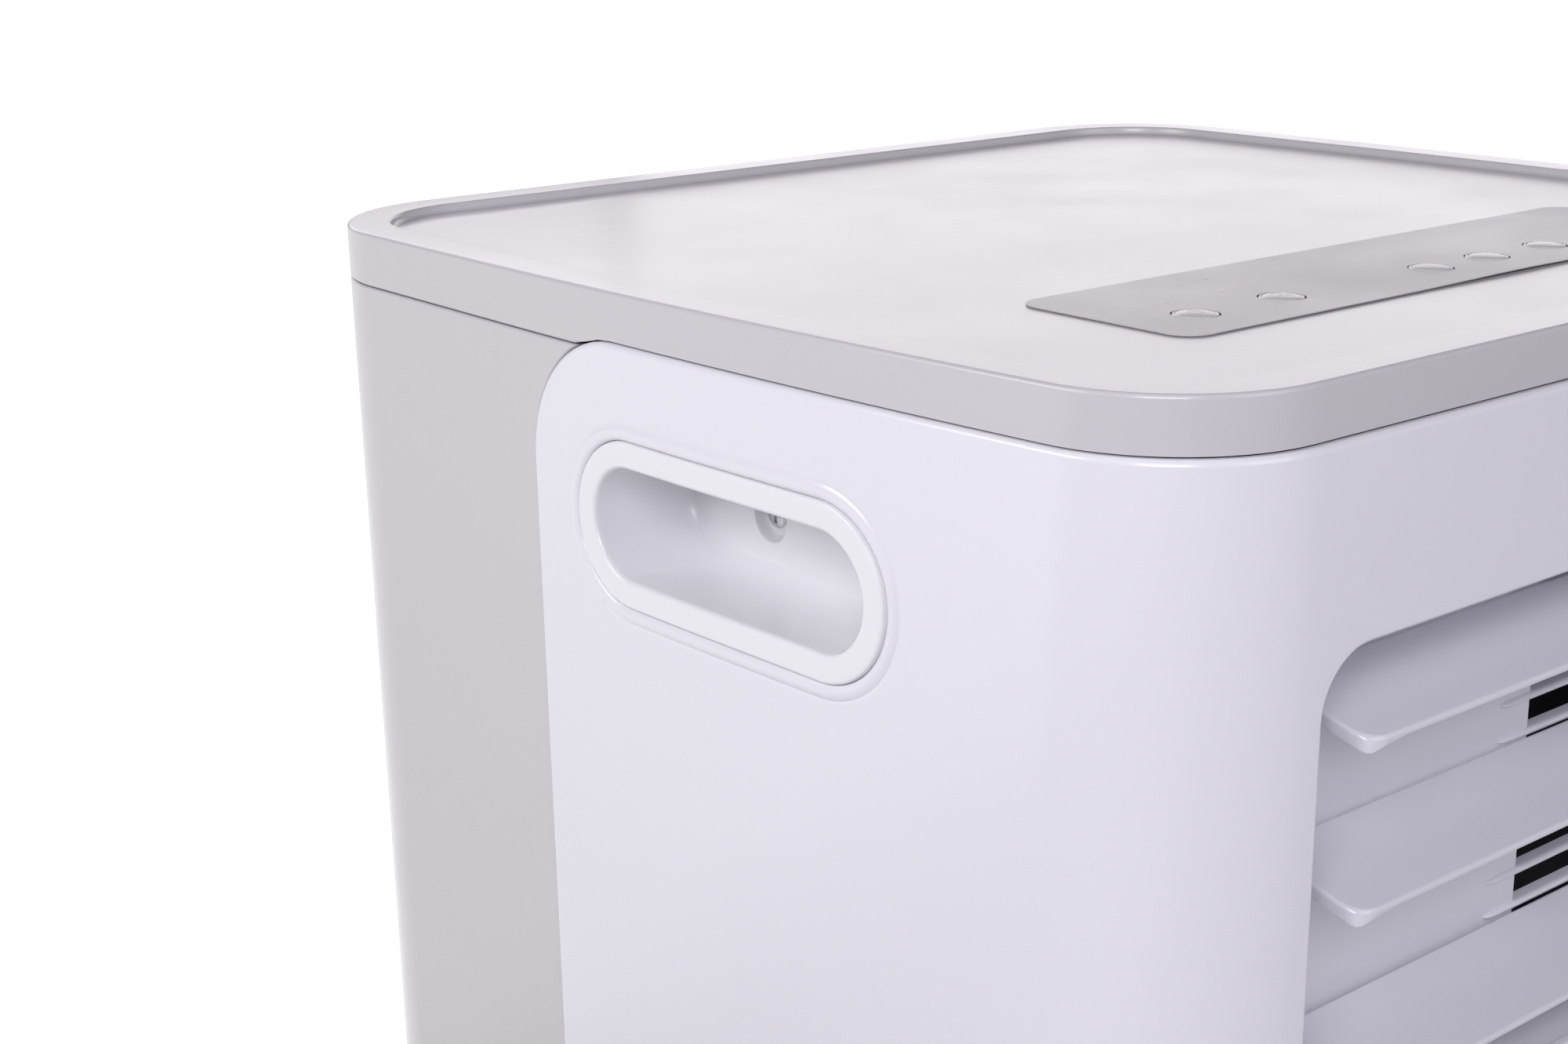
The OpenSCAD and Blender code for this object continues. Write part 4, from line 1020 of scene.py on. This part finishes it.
def dome_height(r):
    """Height of a button's surface over the film at a given radius."""
    share = r / BUTTON_R
    if share > 0.98:
        return 0.25 * MM
    if share > 0.86:
        return (0.25 + 0.4 * sin(pi * (0.98 - share) / 0.12)) * MM
    return (0.3 + 0.75 * sqrt(max(0.0, 1 - (share / 0.86) ** 2)) ** 0.9) * MM


def build_button(node):
    form = Form()
    x, y = BUTTON_SPOTS[node]
    low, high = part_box(node)
    place = flat((x, y, DECK_Z), (1, 0, 0), (0, 1, 0), (0, 0, 1))
    radii = [BUTTON_R * (1 - (i / 22) ** 1.15) for i in range(22)]
    profile = [(2 * MM, low[2] - DECK_Z), (2 * MM, -1.2 * MM), (BUTTON_R, -1.0 * MM)]
    profile += [(r, dome_height(r)) for r in radii]
    profile.append((0.02 * MM, dome_height(0)))
    form.lathe(profile, place, 56, True, True)
    add_icon(form, node, place)
    form.make(node + "_dome", node + "_body", "button_silver", [node], 60.0)


def raised(form, loops, place, rise):
    """A thin raised mark that follows the dome under it."""
    def on_dome(u, v, depth):
        return place(u, v, dome_height(hypot(u, v)) + rise - depth)
    form.sheet(loops, [[(0.0, 0.0), (0.0, rise + 0.1 * MM)]] * len(loops), on_dome)


def ring_loops(r, width, start=0, end=360):
    if end - start >= 360:
        return [circle(0, 0, r + width / 2, 40), circle(0, 0, r - width / 2, 40)[::-1]]
    outer = arc_points(0, 0, r + width / 2, start, end, 30)
    inner = arc_points(0, 0, r - width / 2, end, start, 30)
    return [outer + inner]


def add_icon(form, node, place):
    """Generic pictograms: a clock, a fan, a power sign."""
    rise = 0.07 * MM
    if node == "timer_button":
        hands = [rounded_rect(0, 0.5 * MM, 0.3 * MM, 1.3 * MM, 0.1 * MM, 2),
                 rounded_rect(0.5 * MM, 0, 1.2 * MM, 0.3 * MM, 0.1 * MM, 2)]
        raised(form, ring_loops(1.9 * MM, 0.35 * MM), place, rise)
        for hand in hands:
            raised(form, [hand], place, rise)
    elif node == "fan_button":
        for k in range(3):
            turn = 120 * k + 20
            lobe = arc_points(0, 1.5 * MM, 1.35 * MM, -90, 120, 12)
            lobe += arc_points(0.2 * MM, 1.2 * MM, 0.7 * MM, 120, -60, 8)
            c, s = cos(radians(turn)), sin(radians(turn))
            raised(form, [fine_loop([(u * c - v * s, u * s + v * c) for u, v in lobe], 1.0)], place, rise)
    elif node == "power_button":
        raised(form, ring_loops(1.9 * MM, 0.4 * MM, 120, 420), place, rise)
        raised(form, [rounded_rect(0, 1.7 * MM, 0.4 * MM, 1.8 * MM, 0.15 * MM, 2)], place, rise)


LAMP_SPOTS = offset([(-91.4, -86.2), (-62.7, -72.5), (-61.9, -84.1)])
DASH_WIDTHS = [1.2, 0.7, 1.5, 0.9]


def build_panel_marks():
    """Small ring lamps, each with a short row of plain dashes beside it."""
    form = Form()
    for x, y in LAMP_SPOTS:
        def place(u, v, depth, x=x, y=y):
            return Vector((x + u, y + v, DECK_Z + 0.36 * MM + ripple(x + u, y + v) + 0.04 * MM - depth))
        thin = [(0.0, 0.0), (0.0, 0.1 * MM)]
        form.sheet(ring_loops(1.6 * MM, 0.3 * MM), [thin, thin], place)
        for i, width in enumerate(DASH_WIDTHS):
            dash = rounded_rect((5.0 + 1.9 * i) * MM, 0.1 * MM, width * MM, 0.45 * MM, 0.1 * MM, 2, 1.0)
            form.sheet([dash], [thin], place)
    form.make("panel_marks", "cabinet", "membrane_silver", look="panel_ink")


# ---------------------------------------------------------------- back

INTAKE_MARGIN = 12 * MM
SLAT_PITCH = 8 * MM
SLAT_BAR = 3 * MM
SLAT_DEPTH = 3.6 * MM
SLAT_HALF = 1.0 * MM
TAB_DEPTH = 3.0 * MM
NET_DEPTH = 1.8 * MM


def intake_body(node):
    return "upper_intake" if "upper" in node else "lower_intake"


def build_intake(node):
    form = Form()
    low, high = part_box(node)
    mid_x, mid_z, w, h = extent(node)
    place = wall_place(0, high[1], 0, -1)
    column_w = (w - 4 * INTAKE_MARGIN) / 3
    columns = [column * (column_w + INTAKE_MARGIN) for column in (-1, 0, 1)]
    rows = int((h - 2 * INTAKE_MARGIN - 5 * MM) / SLAT_PITCH)
    bottom = low[2] + INTAKE_MARGIN
    top = bottom + SLAT_PITCH * rows - SLAT_BAR
    outline = rounded_rect(-mid_x, mid_z, w, h, INTAKE_CORNER_R, 8, 10 * MM)
    windows = [rounded_rect(-mid_x + x, (bottom + top) / 2, column_w, top - bottom, 1.5 * MM, 4, 8 * MM)[::-1]
               for x in columns]
    thick = high[1] - low[1]
    tab = rounded_rect(-mid_x, high[2] - 9 * MM, 26 * MM, 7 * MM, 3.4 * MM, 8, 5 * MM)[::-1]
    edges = [rounded_edge(1.6 * MM, thick, 5)] + [rounded_edge(0.8 * MM, thick, 4)] * 3
    form.sheet([outline] + windows + [tab], edges + [rounded_edge(1.0 * MM, TAB_DEPTH, 4)], place)
    form.faces.append(form.add([place(u, v, TAB_DEPTH) for u, v in tab]))
    for row in range(1, rows):
        for x in columns:
            add_slat(form, mid_x + x, column_w / 2, high[1], bottom + SLAT_PITCH * row - SLAT_BAR / 2)
    form.make(node + "_panel", intake_body(node), "grey_gloss", [node])


def add_slat(form, x, half_w, y, z):
    """A sloping slat with rounded edges."""
    ring = []
    for a in range(0, 360, 30):
        u = SLAT_DEPTH / 2 * cos(radians(a))
        v = SLAT_HALF * sin(radians(a))
        ring.append((y - SLAT_DEPTH / 2 - 0.3 * MM + u * 0.9, z + v + u * 0.35))
    ends = [[Vector((end, yy, zz)) for yy, zz in ring] for end in (x - half_w, x + half_w)]
    form.loft(ends, True, True, True)


def build_filter(node):
    form = Form()
    low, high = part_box(node)
    mid_x, mid_z, w, h = extent(node)
    outline = rounded_rect(-mid_x, mid_z, w, h, 5 * MM, 6, 8 * MM)
    cells = [rounded_rect(-mid_x + i * w / 3, mid_z + j * h / 2, w / 3 - 8 * MM, h / 2 - 8 * MM, 3 * MM, 4,
                          8 * MM)[::-1] for i in (-1, 0, 1) for j in (-0.5, 0.5)]
    edge = rounded_edge(0.6 * MM, high[1] - low[1], 3)
    form.sheet([outline] + cells, [edge] * 7, wall_place(0, high[1], 0, -1))
    net = rounded_rect(-mid_x, mid_z, w - 4 * MM, h - 4 * MM, 3 * MM, 4, 6 * MM)
    form.sheet([net], [[(0.0, 0.0), (0.0, 0.4 * MM)]], wall_place(0, high[1] - NET_DEPTH, 0, -1))
    form.make(node + "_net", intake_body(node), "filter_mesh", [node])


COLLAR_R = 65 * MM
LUG_COUNT = 4
LUG_REACH = 7


def build_collar():
    form = Form()
    low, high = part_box("exhaust_collar")
    x, _, z = centre_of("exhaust_collar")
    place = wall_place(x, 0, z, 1)
    rim = high[1]
    profile = [(COLLAR_R, low[1])]
    profile += offset([(0, -0.8), (0.3, -0.2), (1, 0), (2, 0), (2.7, -0.2), (3, -0.8)], COLLAR_R, rim)
    profile += offset([(3, 3.6), (3.3, 2.9), (4, 2.5), (8.8, 2.5), (9.6, 2.2), (10, 1.4), (10, 0), (5, 0),
                       (5, -2.5), (3, -2.5)], COLLAR_R, REAR_Y)
    profile.append((COLLAR_R + 3 * MM, low[1]))
    ids = form.lathe(profile, place, 96)
    form.bridge(ids[-1], ids[0])
    lug = offset([(2.8, -2.8), (5.0, -2.6), (5.4, -2.0), (5.0, -1.2), (2.8, -1.0)], COLLAR_R, rim)
    for k in range(LUG_COUNT):
        rings = []
        for t in range(9):
            a = radians(45 + 90 * k) + radians(-LUG_REACH + 2 * LUG_REACH * t / 8)
            rings.append([place(radial * cos(a), radial * sin(a), depth) for radial, depth in lug])
        form.loft(rings, True, True, True)
    form.make("exhaust_ring", "cabinet", "grey_gloss", ["exhaust_collar"])


def build_plug(node, body):
    form = Form()
    x, _, z = centre_of(node)
    low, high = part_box(node)
    profile = offset([(8.8, 0), (9.7, 0.8)], 0.0, low[1])
    profile += offset([(9.7, 0), (11.4, 0), (12, 0.6), (12, 1.8), (11.4, 2.4), (9.0, 2.5), (8.4, 2.1)],
                      0.0, REAR_Y)
    form.lathe(profile, wall_place(x, 0, z, 1), 48, True, True)
    grip = rounded_rect(0, 0, 11 * MM, 3.2 * MM, 1.5 * MM, 6, 2 * MM)
    edge = rounded_edge(0.7 * MM, high[1] - REAR_Y - 1.5 * MM, 4)
    form.sheet([grip], [edge], wall_place(x, high[1], z, -1))
    form.make(node + "_cap", body, "rubber_black", [node])


def build_gland():
    form = Form()
    x, _, z = centre_of("cord_gland")
    low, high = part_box("cord_gland")
    profile = [(4 * MM, REAR_Y - 2 * MM)] + offset([(4, -0.4), (4.4, 0), (5.6, 0), (6, -0.5)], 0.0, high[1])
    profile += offset([(6, 3), (6.4, 2.5), (11.2, 2.5), (12, 1.8), (12, 0), (9, 0)], 0.0, REAR_Y)
    profile.append((9 * MM, low[1]))
    form.lathe(profile, wall_place(x, 0, z, 1), 48, True, True)
    form.make("gland_bush", "cabinet", "rubber_black", ["cord_gland"])


# ---------------------------------------------------------------- base and casters

CORNERS = ["front_left", "front_right", "rear_left", "rear_right"]
WHEEL_R = 19 * MM
WHEEL_W = 14 * MM
HUB_SPOKES = 5
SPOKE_MID = 9.6 * MM
SPOKE_HALF = 1.0052 * MM
TRAIL = 9 * MM
CHEEK_T = 3 * MM
PAN_INSET = 3.2 * MM
PAN_FLOOR = 1.4 * MM
PAN_RIBS = 6
PAN_RIB_PITCH = 25 * MM
STEM_R = 4.1 * MM


def build_base_pan():
    form = Form()
    marks = LID_PLAN.columns(-LID_PLAN.length, LID_PLAN.length, 4 * MM, 20 * MM)[:-1]
    low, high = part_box("base_pan")
    section = [(2.5 * MM, low[2] + 3 * MM), (2.5 * MM, high[2]), (0.0, high[2])]
    section += offset([(0, 1), (0.3, 0.3), (1, 0), (16, 0), (17, 0.3), (17.5, 1), (18, 1.4)], 0.0, low[2])
    rings = [plan_ring(marks, PAN_INSET + inset, lambda y: z) for inset, z in section]
    ids = form.loft(rings)
    form.faces.append(ids[0])
    sockets = [circle(*PIVOTS[corner + "_fork"][:2], STEM_R, 32)[::-1] for corner in CORNERS]
    rib_xs = [(i - (PAN_RIBS - 1) / 2) * PAN_RIB_PITCH for i in range(PAN_RIBS)]
    ribs = [rounded_rect(x, 0, 6 * MM, 70 * MM, 2.9 * MM, 6, 10 * MM)[::-1] for x in rib_xs]
    floor_z = low[2] + PAN_FLOOR
    names = list(ids[-1])
    for loop, depth in [(socket, 14 * MM) for socket in sockets] + [(rib, 1.2 * MM) for rib in ribs]:
        rim = form.add(level(loop, floor_z))
        end = form.add(level(loop, floor_z + depth))
        form.bridge(rim, end)
        form.faces.append(end)
        names += rim
    outline = [(v.x, v.y) for v in rings[-1]]
    form.patch([outline] + sockets + ribs, names, square_grid(20 * MM, 9),
               flat((0, 0, floor_z), (1, 0, 0), (0, 1, 0), (0, 0, 1)))
    form.make("floor_pan", "cabinet", "pan_dark", ["base_pan"])


def build_wheel(corner):
    form = Form()
    hub = Vector(PIVOTS[corner + "_roller"])
    side = offset([(3.06, 7.0), (5.2, 7.0), (5.6, 6.6), (5.9, 5.4), (13.2, 5.0), (13.8, 5.4), (14.2, 6.4),
                   (17.2, 6.3), (18.3, 5.6), (18.85, 4.2), (19.0, 2.0)])
    profile = [(r, -d) for r, d in side] + list(reversed(side))
    ids = form.lathe(profile, flat(hub, (1, 0, 0), (0, 0, 1), (0, 1, 0)), 64)
    form.bridge(ids[-1], ids[0])
    bar = rounded_rect(0, 0, 8.4 * MM, 2.2 * MM, 0.9 * MM, 4, 2 * MM)
    for spoke in range(HUB_SPOKES):
        a = 2 * pi * spoke / HUB_SPOKES
        along, across = (cos(a), 0, sin(a)), (-sin(a), 0, cos(a))
        for sign in (-1, 1):
            spot = hub + Vector(along) * SPOKE_MID + Vector((0, sign * SPOKE_HALF, 0))
            form.sheet([bar], [rounded_edge(0.4 * MM, 1.6 * MM, 3)], flat(spot, along, across, (0, -sign, 0)))
    form.make(corner + "_tyre", corner + "_roller", "caster_black", [corner + "_wheel"])


def build_fork(corner):
    form = Form()
    x, y, _ = PIVOTS[corner + "_fork"]
    _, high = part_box(corner + "_caster")
    top = BASE_Z - 1 * MM
    base = flat((x, y, 0), (1, 0, 0), (0, 1, 0), (0, 0, 1))
    stem = [(4 * MM, top - 2 * MM), (4 * MM, high[2] - 0.8 * MM), (3.2 * MM, high[2])]
    form.lathe(stem, base, 32, True, True)
    form.lathe(offset([(9, -3), (10.2, -2.6), (10.4, -0.8), (9.6, 0)], 0.0, top), base, 40, True, True)
    cheek = WHEEL_W / 2 + 0.6 * MM
    outline = offset([(-9, -0.4), (-9, -8)], 0.0, top) + arc_points(TRAIL, WHEEL_R, 6 * MM, 215, 375, 14)
    outline = fine_loop(outline + offset([(5, -5), (4, -0.4)], TRAIL, top), 4 * MM)
    for sign in (-1, 1):
        place = flat((x, y + sign * (cheek + CHEEK_T), 0), (1, 0, 0), (0, 0, 1), (0, -sign, 0))
        form.sheet([outline], [rounded_edge(0.8 * MM, CHEEK_T, 4, 0.3 * MM)], place)
    form.block((x - 9 * MM, y - cheek - 1 * MM, top - 3 * MM),
               (x + TRAIL + 4 * MM, y + cheek + 1 * MM, top - 0.2 * MM), 0.4 * MM)
    end = offset([(3.9, 3.5), (4.2, 3.0), (4.2, 2.6), (3, 2.4)], 0.0, cheek)
    axle = [(r, -d) for r, d in end] + list(reversed(end))
    form.lathe(axle, flat((x + TRAIL, y, WHEEL_R), (1, 0, 0), (0, 0, 1), (0, 1, 0)), 32, True, True)
    form.make(corner + "_yoke", corner + "_fork", "caster_black", [corner + "_caster"])


# ---------------------------------------------------------------- stage, light and camera

CAMERA_SPOT = (-452.7 * MM, -421.0 * MM, TOP + 94.4 * MM)
CAMERA_YAW = radians(37.97)
CAMERA_PITCH = radians(16.55)
CAMERA_ROLL = radians(-0.97)
CAMERA_LENS = 50.9


def add_camera():
    data = bpy.data.cameras.new("camera")
    data.sensor_width = 36.0
    data.lens = CAMERA_LENS
    data.clip_start = 0.01
    data.dof.use_dof = False
    camera = bpy.data.objects.new("camera", data)
    cos_p, sin_p = cos(CAMERA_PITCH), sin(CAMERA_PITCH)
    forward = Vector((sin(CAMERA_YAW) * cos_p, cos(CAMERA_YAW) * cos_p, -sin_p))
    right = Vector((cos(CAMERA_YAW), -sin(CAMERA_YAW), 0))
    up = right.cross(forward)
    side = right * cos(CAMERA_ROLL) + up * sin(CAMERA_ROLL)
    rise = up * cos(CAMERA_ROLL) - right * sin(CAMERA_ROLL)
    turn = Matrix((side, rise, -forward)).transposed().to_4x4()
    camera.matrix_world = Matrix.Translation(Vector(CAMERA_SPOT)) @ turn
    link_object(camera)
    bpy.context.scene.camera = camera


def add_light(name, spot, target, size, power, colour):
    data = bpy.data.lights.new(name, "AREA")
    data.shape = "RECTANGLE"
    data.size, data.size_y = size
    data.energy = power
    data.color = colour
    light = bpy.data.objects.new(name, data)
    light.location = spot
    light.rotation_euler = (Vector(target) - Vector(spot)).to_track_quat("-Z", "Y").to_euler()
    link_object(light)


WORLD_LEVEL = 0.4
WORLD_TOP = 0.12
# The floor's painted glow: full strength far behind the unit, and only the front level in front of it and under
# it, which leaves painted shade on the floor near the unit.
FLOOR_GLOW = 1.0
FLOOR_FRONT_GLOW = 0.1
FLOOR_HALF = 60.0
WHITE_LIGHT = (1.0, 0.99, 1.0)
LILAC_LIGHT = (0.985, 0.97, 1.04)
ROSE_LIGHT = (1.0, 0.945, 1.0)
# Each softbox: name, where it stands, what it faces, width and height in metres, power in watts, colour.
SOFTBOXES = [
    ("front", (0.4, -2.4, 1.3), (0.0, 0.0, 0.5), (1.2, 1.2), 8.7, LILAC_LIGHT),
    ("back_high", (0.6, 2.4, 1.7), (0.0, 0.0, 0.7), (1.6, 1.2), 13.0, ROSE_LIGHT),
    ("near_left", (-1.0, 0.3, 1.12), (-0.15, 0.0, 0.6), (0.6, 0.5), 4.9, WHITE_LIGHT),
    ("near_corner", (-0.8, -0.7, 1.15), (-0.1, -0.1, 0.6), (0.5, 0.5), 6.9, LILAC_LIGHT),
    ("back_right", (2.2, 1.8, 1.3), (0.0, 0.0, 0.7), (2.0, 1.6), 14.0, ROSE_LIGHT),
    ("front_top", (0.3, -1.3, 1.6), (0.0, -0.1, 0.6), (1.0, 0.6), 4.2, LILAC_LIGHT),
]


def add_floor():
    look = Look("pale_glowing_floor")
    look.tone("Base Color", look.noise(3.0), (0.74, 0.74, 0.75), (0.77, 0.77, 0.78))
    look.constant("Roughness", 0.7)
    split = look.tree.nodes.new("ShaderNodeSeparateXYZ")
    look.tree.links.new(look.coords, split.inputs[0])
    # Painted glow along Y: dim in front of and under the unit, full white from 0.88 m behind it.
    look.tone("Emission Color", split.outputs["Y"], grey(FLOOR_FRONT_GLOW), grey(1.0), 0.6, 0.88)
    look.constant("Emission Strength", FLOOR_GLOW)
    mesh = bpy.data.meshes.new("floor")
    corners = [(-FLOOR_HALF, -FLOOR_HALF), (FLOOR_HALF, -FLOOR_HALF), (FLOOR_HALF, FLOOR_HALF),
               (-FLOOR_HALF, FLOOR_HALF)]
    mesh.from_pydata(level(corners, 0), [], [(0, 1, 2, 3)])
    mesh.materials.append(look.mat)
    floor = bpy.data.objects.new("floor", mesh)
    link_object(floor)


def add_world():
    """A pale sweep: brighter at the horizon, dim overhead."""
    world = bpy.data.worlds.new("studio")
    world.use_nodes = True
    bpy.context.scene.world = world
    tree = world.node_tree
    coords = tree.nodes.new("ShaderNodeTexCoord")
    split = tree.nodes.new("ShaderNodeSeparateXYZ")
    tree.links.new(coords.outputs["Generated"], split.inputs[0])
    backdrop = tree.nodes["Background"]
    tree.links.new(ramp_node(tree, split.outputs["Z"], grey(1.0), grey(WORLD_TOP), 0.16, 0.42),
                   backdrop.inputs["Color"])
    backdrop.inputs["Strength"].default_value = WORLD_LEVEL


def add_stage():
    add_floor()
    add_world()
    for softbox in SOFTBOXES:
        add_light(*softbox)
    view = bpy.context.scene.view_settings
    view.view_transform = "Standard"
    view.look = "None"


# ---------------------------------------------------------------- everything

add_camera()
add_stage()
finish_cad_nodes()
build_lid()
build_front_shell()
build_rear_shell()
build_grip(-1, "left_handle")
build_grip(1, "right_handle")
build_screws()
for louvre_node in LOUVRE_NODES:
    build_louvre(louvre_node)
build_link()
build_outlet_grille()
build_membrane()
for button_node in BUTTON_NODES:
    build_button(button_node)
build_panel_marks()
for intake_node in ("upper_intake_grille", "lower_intake_grille"):
    build_intake(intake_node)
for filter_node in ("upper_filter", "lower_filter"):
    build_filter(filter_node)
build_collar()
build_plug("upper_drain_plug", "upper_plug")
build_plug("lower_drain_plug", "lower_plug")
build_gland()
build_base_pan()
for corner_name in CORNERS:
    build_wheel(corner_name)
    build_fork(corner_name)
